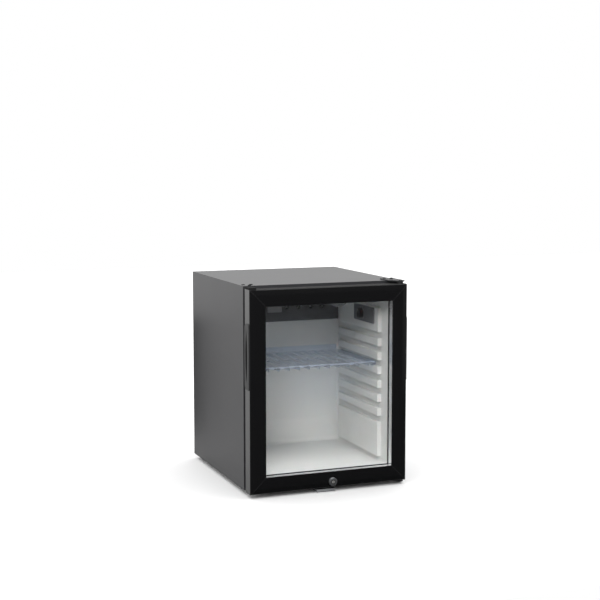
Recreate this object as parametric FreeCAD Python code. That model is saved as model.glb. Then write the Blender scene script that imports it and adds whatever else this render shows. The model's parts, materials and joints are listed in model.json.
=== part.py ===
import FreeCAD, Part
import math
import os

# Minibar fridge: a foam-walled steel box with a white moulded liner, a framed double-glazed door hinged on
# the viewer's right, a cam lock low in the door, and an absorption cooling unit in the open recess behind.
# Everything is modelled in the body's frame: X to the viewer's right from the middle, Y to the back from the
# body's front plane, Z up from the body's underside. save() moves it to the part's frame, whose origin is on
# the floor under the middle of the whole fridge.

V = FreeCAD.Vector

# Body
body_width = 414.0
body_depth = 418.0
body_height = 500.0
foot_height = 12.0
sheet = 1.0
return_front = 24.0
return_edge = 14.0
recess_depth = 68.0
rear_return = 10.0
fit_gap = 0.3

# Liner and its rack
wall_side = 28.0
wall_top = 30.0
wall_floor = 30.0
wall_back = 28.0
liner_wall = 1.6
liner_radius = 9.0
liner_tuck = 6.0
mouth_round = 5.0
rack_front = 45.5
rack_back_gap = 22.0
rack_proud = 10.5
rack_chamfer = 1.5
groove_pitch = 36.0
groove_height = 16.0
groove_first = 131.6
rack_top_gap = 44.0
rack_top_least = 50.0
rack_foot_height = 12.0
grooves_over_shelf_count = 2

# Door
door_gap = 13.0
door_thickness = 36.0
door_drop = 5.5
door_hang = 1.5
rail_width = 40.5
rail_wall = 2.2
bevel_width = 13.0
bevel_fall = 3.0
edge_round = 1.6
lip_thickness = 2.2
lip_round = 0.8
rebate_width = 9.5
pane = 4.0
pane_space = 16.0
pane_clear = 1.0
spacer_width = 6.0
spacer_set = 1.0
spacer_wall = 0.8
bead_overhang = 0.5
bead_slope = 6.0
key_leg = 46.0
key_clear = 0.3

# Gasket
gasket_inset = 12.8
gasket_width = 14.2
gasket_base = 1.5
gasket_wall = 1.2
gasket_neck = 2.4
dart_width = 2.4
dart_depth = 3.6
dart_barb = 1.2
groove_clear = 0.2
magnet_width = 9.0
magnet_thick = 2.6

# Hinges
hinge_inset = 12.0
pin_radius = 3.0
pin_clear = 0.05
pin_depth = 16.0
pin_head = 1.2
pin_head_radius = 4.5
bush_wall = 2.0
bush_flange = 2.6
hinge_plate = 2.5
hinge_plate_width = 36.0
hinge_plate_back = 34.0
hinge_shoulder = 18.0
hinge_tip_margin = 1.0
joggle_start = 1.5
joggle_bend = 3.0
screw_radius = 2.0
screw_length = 12.0
screw_head = 1.6
screw_head_radius = 4.2
screw_edge = 8.0
cap_width = 18.0
cap_low = 0.5
cap_inset = 2.0
cap_round = 3.0
plug_head = 1.2

# Grips in the door's sides
grip_length = 160.0
grip_proud = 1.8
grip_top_gap = 82.0
grip_back = 4.0
grip_front_round = 3.0
grip_round = 12.0
finger_length = 131.0
finger_width = 12.0
finger_depth = 12.0
grip_wall = 1.5

# Lock
lock_x = 6.5
lock_height = 15.0
lock_face_radius = 10.5
lock_proud = 5.5
lock_chamfer = 1.0
lock_body_radius = 9.25
lock_length = 21.9
lock_clear = 0.1
plug_radius = 6.0
plug_clear = 0.08
keyway_length = 8.0
keyway_width = 1.8
keyway_depth = 4.0
nut_thick = 4.0
nut_across = 21.0
hex_sides = 6
cam_gap = 0.4
cam_thick = 2.5
cam_width = 10.0
cam_reach = 23.5
cam_clear = 1.0
strike_left = -33.5
strike_width = 49.0
strike_thick = 1.5
strike_drop = 10.2
strike_front = 46.0
strike_lip = 4.0
strike_back = 30.0
strike_bend = 6.0
strike_bend_start = 4.0
strike_clear = 2.0

# Feet
foot_inset = 35.0
foot_front = 54.0
foot_back = 38.0
foot_radius = 14.0
foot_taper = 1.5
foot_stud_radius = 4.0
foot_stud = 9.0
vent_count = 9
vent_width = 8.0
vent_length = 46.0
vent_pitch = 26.0

# Shelf
shelf_front = 55.0
shelf_back_gap = 10.0
shelf_side_gap = 2.0
shelf_plate = 3.0
shelf_bar = 6.0
shelf_rise = 6.0
shelf_runner_start = 20.0
shelf_runner_end = 12.0
shelf_wall_gap = 2.0
rib_pitch = 27.0
rib_side_gap = 15.0
rib_thick = 2.0
rib_drop = 5.0
slot_width = 11.0
slot_front = 24.0
slot_rear = 22.0
slot_bridge = 8.0
upstand = 16.0

# Inside the liner, high on the rear wall
cover_depth = 24.0
cover_side_gap = 1.0
cover_height = 77.0
cover_wall = 2.0
cover_top_gap = 1.0
vent_hole_radius = 4.25
vent_hole_rise = 12.0
vent_hole_pitch = 34.3
vent_hole_pairs = 4
clip_width = 40.0
clip_height = 15.0
clip_proud = 1.6
clip_x = -17.15
clip_round = 1.5
tray_wall = 1.5
tray_depth = 5.5
tray_gap = 0.5
fin_side_gap = 47.5
fin_count = 24
fin_thick = 1.2
fin_reach = 13.0
fin_base = 3.0
fin_height = 50.0
fin_below = 16.0
spine_left_inset = 23.0
spine_right_inset = 78.0
spine_height = 20.0
spine_clear = 0.5
spine_wall = 4.0

# Lamp under the ceiling
lamp_x = 78.0
lamp_y = 92.0
lamp_radius = 29.0
lamp_base = 22.0
lamp_wall = 2.0
lens_drop = 20.0
lens_set = 2.0
lens_wall = 1.8
board_thick = 1.6
board_clear = 0.3

# Thermostat housing high on the right wall
housing_front = 66.0
housing_length = 120.0
housing_top_gap = 46.0
housing_height = 41.0
housing_proud = 4.0
housing_rib_count = 9
housing_rib = 1.6
housing_rib_proud = 0.8
housing_band_share = 0.45
knob_setback = 72.0
knob_radius = 13.0
knob_thick = 8.0
knob_grip = 2.0
knob_grip_reach = 4.0
knob_shaft_radius = 3.0
knob_shaft_clear = 0.08
knob_shaft_length = 16.0
thermostat_length = 46.0
thermostat_height = 26.0
thermostat_deep = 17.0

# Cooling unit in the recess
unit_gap = 34.0
foam_line_gap = 13.0
boiler_inset = 79.0
boiler_radius = 31.0
boiler_low = 40.0
boiler_height = 222.0
boiler_skin = 1.2
boiler_tube_radius = 11.0
boiler_neck = 20.0
riser_radius = 7.0
heater_radius = 5.0
heater_length = 120.0
condenser_top_gap = 32.0
condenser_fall = 8.0
condenser_inset = 85.0
condenser_fin_start = 40.0
condenser_fin_stop = 35.0
condenser_fin_pitch = 9.0
condenser_fin_side = 42.0
condenser_fin_thick = 0.8
evaporator_rise = 32.0
evaporator_radius = 6.0
exchanger_inset = 147.0
exchanger_radius = 11.0
exchanger_cap = 6.0
absorber_inset = 67.0
absorber_side_gap = 30.0
absorber_drop = 94.0
absorber_least = 50.0
absorber_straight = 2.0
absorber_radius = 6.0
pipe_bend = 14.0
vessel_inset = 61.0
vessel_overrun = 12.0
vessel_height = 80.0
vessel_radius = 26.0
vessel_dome = 9.0
solution_radius = 7.0
solution_height = 74.0
bracket_thick = 2.0
bracket_margin = 6.0
bracket_foot = 14.0
vessel_bracket_reach = 55.0
boiler_bracket_height = 160.0
box_inset = 31.0
box_half_width = 22.0
box_depth = 56.0
box_low = 150.0
box_height = 92.0
box_round = 3.0
gland_radius = 8.0
gland_length = 14.0
gland_wall = 4.4
gland_nut = 5.0
gland_nut_radius = 10.0
drain_x = -40.0
drain_radius = 2.5
drain_wall = 0.8
drain_gap = 16.0
drain_end = 124.0
cup_width = 40.0
cup_margin = 3.0
cup_rise = 12.0
cup_height = 42.0
cup_wall = 1.6

# Places that follow from the sizes: the body and the door
half = body_width / 2
door_front = -(door_gap + door_thickness)
door_top = body_height - door_drop
door_bottom = -door_hang
front_y = (door_gap + door_thickness + lock_proud - body_depth) / 2
inner_half = half - wall_side
inner_top = body_height - wall_top
rear_panel = body_depth - recess_depth
inner_back = rear_panel - wall_back
rebate = rail_width - rebate_width
glass_front = lip_thickness
glass_back = glass_front + pane + pane_space + pane
pane_edge = rebate + pane_clear
hinge_x = half - hinge_inset
hinge_y = door_front + door_thickness / 2
bush_radius = pin_radius + pin_clear + bush_wall
grip_low = door_top - grip_top_gap - grip_length
lock_z = door_bottom + lock_height
cam_front = door_front + lock_length + cam_gap
cam_sweep = math.hypot(cam_reach, cam_width / 2)

# The rack, as many grooves as fit under its top block, and the shelf in one of them
rack_x = inner_half - rack_proud
rack_base = wall_floor + rack_foot_height
rack_top = inner_top - rack_top_gap
rack_length = inner_back - rack_back_gap - rack_front
groove_count = int((rack_top - rack_top_least - groove_first - groove_height) / groove_pitch) + 1
runner_z = groove_first + (groove_count - 1 - grooves_over_shelf_count) * groove_pitch + fit_gap
shelf_z = runner_z + shelf_rise
shelf_half = rack_x - shelf_side_gap
shelf_back = inner_back - shelf_back_gap
rib_pairs = int((shelf_half - rib_side_gap) / rib_pitch + 1 / 2)

# The cover, the evaporator behind it and the thermostat's housing
cover_half_width = rack_x - cover_side_gap
cover_front = inner_back - cover_depth
cover_bottom = inner_top - cover_top_gap - cover_height
evaporator_height = cover_bottom + evaporator_rise
fin_block_half = cover_half_width - cover_wall - fin_side_gap
fin_low = evaporator_height - fin_below
fin_high = fin_low + fin_height
spine_left = -fin_block_half + spine_left_inset
spine_right = fin_block_half - spine_right_inset
housing_low = inner_top - housing_top_gap - housing_height
knob_y = housing_front + knob_setback

# The cooling unit: its middle plane, and the places across the recess and up it
unit_line = rear_panel + unit_gap
foam_line = inner_back + foam_line_gap
drain_line = rear_panel + drain_gap
boiler_x = half - boiler_inset
exchanger_x = half - exchanger_inset
condenser_end = -half + condenser_inset
condenser_high = body_height - condenser_top_gap
vessel_left = -half + vessel_inset
vessel_right = exchanger_x + vessel_overrun
box_x = -half + box_inset
absorber_left = -half + absorber_inset
absorber_right = exchanger_x - absorber_side_gap
absorber_top = evaporator_height - absorber_drop
absorber_pitch = 2 * pipe_bend + absorber_straight
absorber_room = absorber_top - vessel_height - vessel_radius - absorber_least
absorber_runs = int(absorber_room / absorber_pitch) + 1
condenser_fin_room = boiler_x - condenser_end - condenser_fin_start - condenser_fin_stop
condenser_fin_count = int(condenser_fin_room / condenser_fin_pitch) + 1

nodes = {}


def block(x, y, z):
    """A box between three (low, high) pairs."""
    return Part.makeBox(x[1] - x[0], y[1] - y[0], z[1] - z[0], V(x[0], y[0], z[0]))


def centred(middle, size):
    """The (low, high) pair of a span about its middle."""
    return (middle - size / 2, middle + size / 2)


def rod(start, end, radius):
    """A round bar between two points."""
    return Part.makeCylinder(radius, start.distanceToPoint(end), start, end.sub(start))


def extrusion(outline, way):
    """A flat outline of points, pushed along a vector."""
    return Part.Face(Part.makePolygon(outline + outline[:1])).extrude(way)


def mirrored(shape):
    """The shape's twin on the other side of the body."""
    return shape.mirror(V(0, 0, 0), V(1, 0, 0))


def group(shapes):
    """Separate solids of one node."""
    return Part.makeCompound([solid for shape in shapes for solid in shape.Solids])


def fused(shapes):
    """One solid out of several that meet."""
    return shapes[0].multiFuse(shapes[1:]).removeSplitter()


def facing_edges(shape, axis):
    """The straight edges that run along one axis, 0 to 2 for X to Z."""
    picked = []
    for edge in shape.Edges:
        way = edge.lastVertex().Point.sub(edge.firstVertex().Point)
        length = way.Length
        if length > 0 and abs(abs(way[axis]) - length) < length / body_height:
            picked.append(edge)
    return picked


def rounded_block(x, y, z, radius, axis):
    """A box whose edges along one axis are rounded."""
    solid = block(x, y, z)
    return solid.makeFillet(radius, facing_edges(solid, axis))


def tub(half_width, front, back, low, high, radius):
    """A box rounded on every edge but those of its front face."""
    solid = block((-half_width, half_width), (front, back), (low, high))
    inner = [edge for edge in solid.Edges if edge.BoundBox.YMax > (front + back) / 2]
    return solid.makeFillet(radius, inner)


def prism(first, last):
    """The solid between two like outlines, closed by flat sides."""
    faces = [Part.Face(Part.makePolygon(first + first[:1])), Part.Face(Part.makePolygon(last + last[:1]))]
    for i in range(len(first)):
        j = (i + 1) % len(first)
        faces.append(Part.Face(Part.makePolygon([first[i], first[j], last[j], last[i], first[i]])))
    solid = Part.Solid(Part.Shell(faces))
    return solid if solid.Volume > 0 else solid.reversed()


def mitred(outline, side):
    """One side of the door's frame: an outline of (inward, behind the door's front) run between mitres."""
    ends = {
        "top": lambda a: ((-half + a, door_top - a), (half - a, door_top - a)),
        "bottom": lambda a: ((-half + a, door_bottom + a), (half - a, door_bottom + a)),
        "left": lambda a: ((-half + a, door_bottom + a), (-half + a, door_top - a)),
        "right": lambda a: ((half - a, door_bottom + a), (half - a, door_top - a)),
    }[side]
    first, last = [], []
    for inward, back in outline:
        start, end = ends(inward)
        first.append(V(start[0], door_front + back, start[1]))
        last.append(V(end[0], door_front + back, end[1]))
    return prism(first, last)


def mitred_ring(outline):
    """The four sides of a frame round the door, mitred at the corners."""
    return [mitred(outline, side) for side in ("top", "bottom", "left", "right")]


def pipe(points, radius):
    """A round bar along straight runs joined by tangent bends."""
    pieces = []
    start = points[0]
    for before, corner, after in zip(points, points[1:], points[2:]):
        into = corner.sub(before).normalize()
        out = after.sub(corner).normalize()
        turn = into.getAngle(out)
        reach = pipe_bend * math.tan(turn / 2)
        near = corner.sub(into * reach)
        inward = out.sub(into * into.dot(out)).normalize()
        section = Part.Face(Part.Wire([Part.makeCircle(radius, near, into)]))
        pieces.append(rod(start, near, radius))
        pieces.append(section.revolve(near.add(inward * pipe_bend), into.cross(out), math.degrees(turn)))
        start = corner.add(out * reach)
    pieces.append(rod(start, points[-1], radius))
    return fused(pieces)


def save(shape, node):
    """Moves a finished piece to the part's frame and writes it."""
    nodes[node] = shape
    placed = shape.copy()
    placed.translate(V(0, front_y, foot_height))
    placed.exportStep("parts/" + node + ".step")


def screw(head, way):
    """A pan-head screw whose head stands on a point and whose shank runs along a unit vector."""
    shank = rod(head, head.add(way * screw_length), screw_radius)
    return fused([shank, rod(head.sub(way * screw_head), head, screw_head_radius)])


# Body: folded sheet panels

def side_panel():
    """The left panel, with its front return for the gasket and short returns on the other edges."""
    top = body_height - sheet
    skin = block((-half, -half + sheet), (0, body_depth), (sheet, top))
    front = extrusion(
        [V(-half + sheet, 0, sheet), V(-half + return_front, 0, return_front),
         V(-half + return_front, 0, body_height - return_front), V(-half + sheet, 0, top)],
        V(0, sheet, 0))
    upper = block((-half, -half + return_edge), (sheet, body_depth - sheet), (top - sheet, top))
    lower = block((-half, -half + return_edge), (sheet, body_depth - sheet), (sheet, sheet + sheet))
    rear = block((-half, -half + rear_return), (body_depth - sheet, body_depth), (sheet, top))
    return fused([skin, front, upper, lower, rear]).cut(top_holes() + bottom_holes())


def cross_panel(low, inward):
    """The top or bottom panel: a flat sheet with a mitred front return towards the inside."""
    flat = block((-half, half), (0, body_depth), (low, low + sheet))
    edge = low if inward > 0 else low + sheet
    tip = edge + inward * return_front
    base = edge + inward * sheet
    front = extrusion([V(-half + sheet, 0, base), V(-half + return_front, 0, tip),
                       V(half - return_front, 0, tip), V(half - sheet, 0, base)], V(0, sheet, 0))
    return fused([flat, front])


hinge_plate_front = hinge_y - hinge_inset + hinge_tip_margin


def hinge_outline(z):
    """The hinge plate seen from above: a tongue that narrows to a round tip about the pin."""
    tip = hinge_inset - hinge_tip_margin
    right = hinge_x + tip
    left = right - hinge_plate_width
    across, along = left - hinge_x, -hinge_shoulder - hinge_y
    leave_angle = math.atan2(along, across) + math.acos(tip / math.hypot(across, along))
    leave, middle = [V(hinge_x + tip * math.cos(angle), hinge_y + tip * math.sin(angle), z)
                     for angle in (leave_angle, leave_angle / 2 + math.pi)]
    edges = [
        Part.LineSegment(V(left, hinge_plate_back, z), V(left, -hinge_shoulder, z)),
        Part.LineSegment(V(left, -hinge_shoulder, z), leave),
        Part.Arc(leave, middle, V(right, hinge_y, z)),
        Part.LineSegment(V(right, hinge_y, z), V(right, hinge_plate_back, z)),
        Part.LineSegment(V(right, hinge_plate_back, z), V(left, hinge_plate_back, z)),
    ]
    return Part.Face(Part.Wire([edge.toShape() for edge in edges]))


def hinge_screw_places():
    """The (x, y) of the screws through a hinge plate."""
    right = hinge_x + hinge_inset - hinge_tip_margin
    left = right - hinge_plate_width
    back = hinge_plate_back - screw_edge
    return [(left + screw_edge, back), (right - screw_edge, back), ((left + right) / 2, screw_edge)]


def hinge_plate_top():
    plate = hinge_outline(body_height).extrude(V(0, 0, hinge_plate))
    holes = [rod(V(x, y, body_height), V(x, y, body_height + hinge_plate), screw_radius)
             for x, y in hinge_screw_places()]
    pin = V(hinge_x, hinge_y, body_height)
    holes.append(rod(pin, pin.add(V(0, 0, hinge_plate)), pin_radius))
    return plate.cut(holes)


joggle = door_hang + bush_flange + fit_gap


def hinge_plate_bottom():
    """The lower plate is bent down behind the door, so that the door's bush stands on it."""
    front = hinge_plate_front - hinge_tip_margin
    bent = joggle_start + joggle_bend
    outline = [V(-half, hinge_plate_back, 0), V(-half, -joggle_start, 0), V(-half, -bent, -joggle),
               V(-half, front, -joggle), V(-half, front, -joggle - hinge_plate),
               V(-half, -bent, -joggle - hinge_plate), V(-half, -joggle_start, -hinge_plate),
               V(-half, hinge_plate_back, -hinge_plate)]
    strip = extrusion(outline, V(body_width, 0, 0))
    plan = hinge_outline(-joggle - hinge_plate).extrude(V(0, 0, joggle + hinge_plate))
    plate = strip.common(plan)
    holes = [rod(V(x, y, -hinge_plate), V(x, y, 0), screw_radius) for x, y in hinge_screw_places()]
    holes.append(rod(V(hinge_x, hinge_y, -joggle - hinge_plate), V(hinge_x, hinge_y, -joggle), pin_radius))
    return plate.cut(holes)


def hinge_pins():
    """Two pins, each riveted in its plate and reaching into the door."""
    pins = []
    for seat, tip, way in ((body_height + hinge_plate, door_top - pin_depth, 1),
                           (-joggle - hinge_plate, door_bottom + pin_depth, -1)):
        head = V(hinge_x, hinge_y, seat)
        shank = rod(V(hinge_x, hinge_y, tip), head, pin_radius)
        pins.append(fused([shank, rod(head, V(hinge_x, hinge_y, seat + way * pin_head), pin_head_radius)]))
    return group(pins)


def lock_strike():
    """The catch under the door: bent from sheet, slotted where the cam drops, with a stiff lip in front."""
    low = -strike_drop
    flat = low + strike_thick
    front = -strike_front
    outline = [V(strike_left, strike_back, 0), V(strike_left, strike_bend_start + strike_bend, 0),
               V(strike_left, strike_bend_start, flat), V(strike_left, front + strike_thick, flat),
               V(strike_left, front + strike_thick, low + strike_thick + strike_lip),
               V(strike_left, front, low + strike_thick + strike_lip), V(strike_left, front, low),
               V(strike_left, strike_bend_start + strike_thick / 2, low),
               V(strike_left, strike_bend_start + strike_bend + strike_thick / 2, -strike_thick),
               V(strike_left, strike_back, -strike_thick)]
    strap = extrusion(outline, V(strike_width, 0, 0))
    flanges = [block(x, (front, strike_bend_start), (low, low + strike_thick + strike_lip))
               for x in ((strike_left, strike_left + strike_thick),
                         (strike_left + strike_width - strike_thick, strike_left + strike_width))]
    solid = fused([strap] + flanges)
    near = lock_z - flat
    reach = math.sqrt(cam_sweep ** 2 - near ** 2)
    slot = block((lock_x - reach - strike_clear, lock_x + cam_width / 2 + strike_clear),
                 (cam_front - strike_clear, cam_front + cam_thick + strike_clear), (low, flat))
    holes = [rod(V(x, y, -strike_thick), V(x, y, 0), screw_radius) for x, y in strike_screw_places()]
    return solid.cut([slot] + holes)


def strike_screw_places():
    y = (strike_bend_start + strike_bend + strike_back) / 2 + strike_thick
    return [(strike_left + screw_edge, y), (strike_left + strike_width - screw_edge, y)]


def fixing_screws():
    """The pan-head screws of both hinge plates and the strike."""
    top = [screw(V(x, y, body_height + hinge_plate), V(0, 0, -1)) for x, y in hinge_screw_places()]
    low = [screw(V(x, y, -hinge_plate), V(0, 0, 1)) for x, y in hinge_screw_places()]
    catch = [screw(V(x, y, -strike_thick), V(0, 0, 1)) for x, y in strike_screw_places()]
    return group(top + low + catch)


def hinge_hole_plugs():
    """Push-in plugs in the top's spare screw holes, for a door hung on the other side."""
    plugs = []
    for x, y in hinge_screw_places():
        stem = rod(V(-x, y, body_height - 2 * sheet), V(-x, y, body_height), screw_radius)
        head = rod(V(-x, y, body_height), V(-x, y, body_height + plug_head), screw_head_radius)
        plugs.append(fused([stem, head]))
    return group(plugs)


def foot_places():
    return [(side * (half - foot_inset), y) for side in (-1, 1) for y in (foot_front, body_depth - foot_back)]


def feet():
    """Turned plastic feet whose studs push into the bottom panel."""
    solids = []
    for x, y in foot_places():
        pad = Part.makeCone(foot_radius - foot_taper, foot_radius, foot_height, V(x, y, -foot_height))
        solids.append(fused([pad, rod(V(x, y, 0), V(x, y, foot_stud), foot_stud_radius)]))
    return group(solids)


def vent_slots():
    """Air slots in the bottom panel, under the cooling unit."""
    y = centred((rear_panel + body_depth) / 2, vent_length)
    slots = []
    for i in range(vent_count):
        x = (i - (vent_count - 1) / 2) * vent_pitch
        slots.append(block(centred(x, vent_width), y, (0, sheet)))
    return slots


# Liner

def rack_block(low, high):
    """One block of the right-hand rack, its inner edges chamfered."""
    c = rack_chamfer
    places = [(inner_half, low), (rack_x + c, low), (rack_x, low + c), (rack_x, high - c), (rack_x + c, high),
              (inner_half, high)]
    return extrusion([V(x, rack_front, z) for x, z in places], V(0, rack_length, 0))


def rack_blocks():
    """The rack's blocks: a tall one at the foot, one between each two grooves, and one above the last."""
    blocks = [rack_block(rack_base, groove_first)]
    for i in range(groove_count):
        low = groove_first + i * groove_pitch + groove_height
        last = i == groove_count - 1
        high = rack_top if last else low + groove_pitch - groove_height
        blocks.append(rack_block(low, high))
    return blocks


def liner_outside():
    """The space that the liner's tub takes, filled, with the thicker rim that its mouth is rounded in."""
    rim = mouth_round + liner_wall
    rim_half = inner_half + rim
    inner_tub = tub(inner_half + liner_wall, sheet, inner_back + liner_wall, wall_floor - liner_wall,
                    inner_top + liner_wall, liner_radius + liner_wall)
    mouth = block((-rim_half, rim_half), (sheet, sheet + rim), (wall_floor - rim, inner_top + rim))
    return fused([inner_tub, mouth])


def liner_inside():
    """The space inside the liner's tub, open at the front."""
    return tub(inner_half, -sheet, inner_back, wall_floor, inner_top, liner_radius)


def evaporator_spine():
    """The bar of the evaporator that passes through the liner and clamps the cold tube."""
    depth = (inner_back - fin_base, foam_line + evaporator_radius + spine_wall)
    return block((spine_left, spine_right), depth, centred(evaporator_height, spine_height))


def thermostat_space():
    """The pocket that the thermostat body fills behind the liner's rack."""
    return block((rack_x, rack_x + thermostat_deep), centred(knob_y, thermostat_length),
                 centred(housing_low + housing_height / 2, thermostat_height))


def drain_path():
    """The drain tube's corners: out of the tray, through the wall, and down behind it to the cup."""
    start = cover_bottom + cover_wall + tray_wall + drain_radius
    into = V(drain_x, inner_back - tray_wall, start)
    return [into, V(drain_x, drain_line, start), V(drain_x, drain_line, drain_end)]


def mouth_edges(shell):
    """The edges of the liner's opening, in its front face."""
    return [edge for edge in shell.Edges if abs(edge.BoundBox.YMax - sheet) < fit_gap
            and abs(edge.CenterOfMass.x) < inner_half + fit_gap
            and wall_floor - fit_gap < edge.CenterOfMass.z < inner_top + fit_gap]


def inner_liner():
    """The tub with its flange behind the body's front, a rounded mouth, and the racks on both sides."""
    flange_half = half - return_front + liner_tuck
    flange_edge = return_front - liner_tuck
    height = (flange_edge, body_height - flange_edge)
    flange = block((-flange_half, flange_half), (sheet, sheet + liner_wall), height)
    shell = fused([liner_outside(), flange]).cut(liner_inside())
    shell = shell.makeFillet(mouth_round, mouth_edges(shell))
    right = rack_blocks()
    solid = fused([shell] + right + [mirrored(piece) for piece in right])
    wall = (inner_back, inner_back + liner_wall)
    window = block((spine_left - spine_clear, spine_right + spine_clear), wall,
                   centred(evaporator_height, spine_height + 2 * spine_clear))
    drain = rod(drain_path()[0], V(drain_x, rear_panel, drain_path()[0].z), drain_radius)
    return solid.cut([window, thermostat_space(), drain])


# Behind the cover

def evaporator_cover():
    """The cover over the evaporator: a tray-shaped moulding with a row of round air holes."""
    outer = block((-cover_half_width, cover_half_width), (cover_front, inner_back),
                  (cover_bottom, inner_top - cover_top_gap))
    inner = block((-cover_half_width + cover_wall, cover_half_width - cover_wall),
                  (cover_front + cover_wall, inner_back), (cover_bottom + cover_wall, inner_top))
    shell = outer.cut(inner)
    corner = [edge for edge in facing_edges(shell, 0) if edge.BoundBox.YMax < cover_front + cover_wall / 2
              and edge.BoundBox.ZMax < cover_bottom + cover_wall / 2]
    shell = shell.makeFillet(cover_wall, corner)
    holes = []
    for i in range(-vent_hole_pairs, vent_hole_pairs):
        x = (i + 1 / 2) * vent_hole_pitch
        if abs(x - clip_x) > clip_width / 2:
            at = V(x, cover_front, cover_bottom + vent_hole_rise)
            holes.append(rod(at, at.add(V(0, cover_wall, 0)), vent_hole_radius))
    return shell.cut(holes).common(liner_inside())


def sensor_clip():
    """The pale clip on the cover that holds the temperature sensor's end."""
    return rounded_block(centred(clip_x, clip_width), (cover_front - clip_proud, cover_front),
                         (cover_bottom + cover_wall, cover_bottom + cover_wall + clip_height), clip_round, 1)


def drip_tray():
    """The trough under the fins: it drains through its rear wall."""
    low = cover_bottom + cover_wall
    x = cover_half_width - cover_wall - tray_gap
    front = cover_front + cover_wall + tray_gap
    outer = block((-x, x), (front, inner_back), (low, low + tray_depth + tray_wall))
    inner = block((-x + tray_wall, x - tray_wall), (front + tray_wall, inner_back - tray_wall),
                  (low + tray_wall, low + tray_depth + tray_wall))
    hole = rod(drain_path()[0], V(drain_x, inner_back, drain_path()[0].z), drain_radius)
    return outer.cut([inner, hole])


def evaporator_fins():
    """The finned aluminium block, one extrusion with its spine and the bore for the cold tube."""
    height = (fin_low, fin_high)
    base = block((-fin_block_half, fin_block_half), (inner_back - fin_base, inner_back), height)
    pitch = (2 * fin_block_half - fin_thick) / (fin_count - 1)
    fins = []
    depth = (inner_back - fin_base - fin_reach, inner_back - fin_base)
    for i in range(fin_count):
        left = -fin_block_half + i * pitch
        fins.append(block((left, left + fin_thick), depth, height))
    bore = rod(V(spine_left, foam_line, evaporator_height), V(spine_right, foam_line, evaporator_height),
               evaporator_radius)
    return fused([base, evaporator_spine()] + fins).cut(bore)


# Lamp

def lamp_housing():
    top = V(lamp_x, lamp_y, inner_top)
    low = V(lamp_x, lamp_y, inner_top - lamp_base)
    cup = rod(low, top, lamp_radius)
    hollow = rod(low, top.sub(V(0, 0, lamp_wall)), lamp_radius - lamp_wall)
    return cup.cut(hollow)


def lamp_lens():
    """A shallow dome on a rim that pushes into the housing."""
    radius = lamp_radius - lamp_wall
    low = inner_top - lamp_base
    ball = (radius ** 2 + lens_drop ** 2) / (2 * lens_drop)
    centre = V(lamp_x, lamp_y, low - lens_drop + ball)
    below = rod(V(lamp_x, lamp_y, low - lens_drop), V(lamp_x, lamp_y, low), radius)
    dome = Part.makeSphere(ball, centre).common(below)
    inner = Part.makeSphere(ball - lens_wall, centre).common(
        rod(V(lamp_x, lamp_y, low - lens_drop), V(lamp_x, lamp_y, low), radius - lens_wall))
    rim = rod(V(lamp_x, lamp_y, low), V(lamp_x, lamp_y, low + lens_set), radius)
    rim = rim.cut(rod(V(lamp_x, lamp_y, low), V(lamp_x, lamp_y, low + lens_set), radius - lens_wall))
    return fused([dome.cut(inner), rim])


def led_board():
    low = V(lamp_x, lamp_y, inner_top - lamp_wall - board_thick)
    return rod(low, low.add(V(0, 0, board_thick)), lamp_radius - lamp_wall - board_clear)


# Thermostat

def control_housing():
    """The dark housing on the right-hand rack, its forward half ribbed for grip and air."""
    x = (rack_x - housing_proud, rack_x)
    y = (housing_front, housing_front + housing_length)
    z = (housing_low, housing_low + housing_height)
    plate = rounded_block(x, y, z, housing_proud, 0)
    band = housing_length * housing_band_share
    pitch = band / housing_rib_count
    ribs = []
    for i in range(housing_rib_count):
        middle = housing_front + housing_proud + (i + 1 / 2) * pitch
        ribs.append(block((x[0] - housing_rib_proud, x[0]), centred(middle, housing_rib),
                          (z[0] + housing_proud, z[1] - housing_proud)))
    hole = rod(knob_axis(x[0]), knob_axis(x[1]), knob_shaft_radius + knob_shaft_clear)
    return fused([plate] + ribs).cut(hole)


def knob_axis(x):
    return V(x, knob_y, housing_low + housing_height / 2)


def shaft_bore():
    """The bore in the thermostat for the knob's shaft."""
    radius = knob_shaft_radius + knob_shaft_clear
    return rod(knob_axis(rack_x), knob_axis(rack_x + knob_shaft_length), radius)


def thermostat_body():
    return thermostat_space().cut(shaft_bore())


def thermostat_knob():
    """A round knob with a finger bar, on the shaft that enters the thermostat."""
    back = rack_x - housing_proud - fit_gap
    face = back - knob_thick
    disc = rod(knob_axis(face), knob_axis(back), knob_radius)
    rim = [edge for edge in disc.Edges if edge.BoundBox.XMax < (face + back) / 2]
    disc = disc.makeChamfer(knob_grip / 2, rim)
    middle = knob_axis(0)
    bar = block((face - knob_grip_reach, face), centred(middle.y, knob_grip * 2),
                centred(middle.z, 2 * (knob_radius - knob_grip)))
    shaft = rod(knob_axis(back), knob_axis(rack_x + knob_shaft_length - fit_gap), knob_shaft_radius)
    return fused([disc, bar, shaft])


# Shelf

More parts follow.
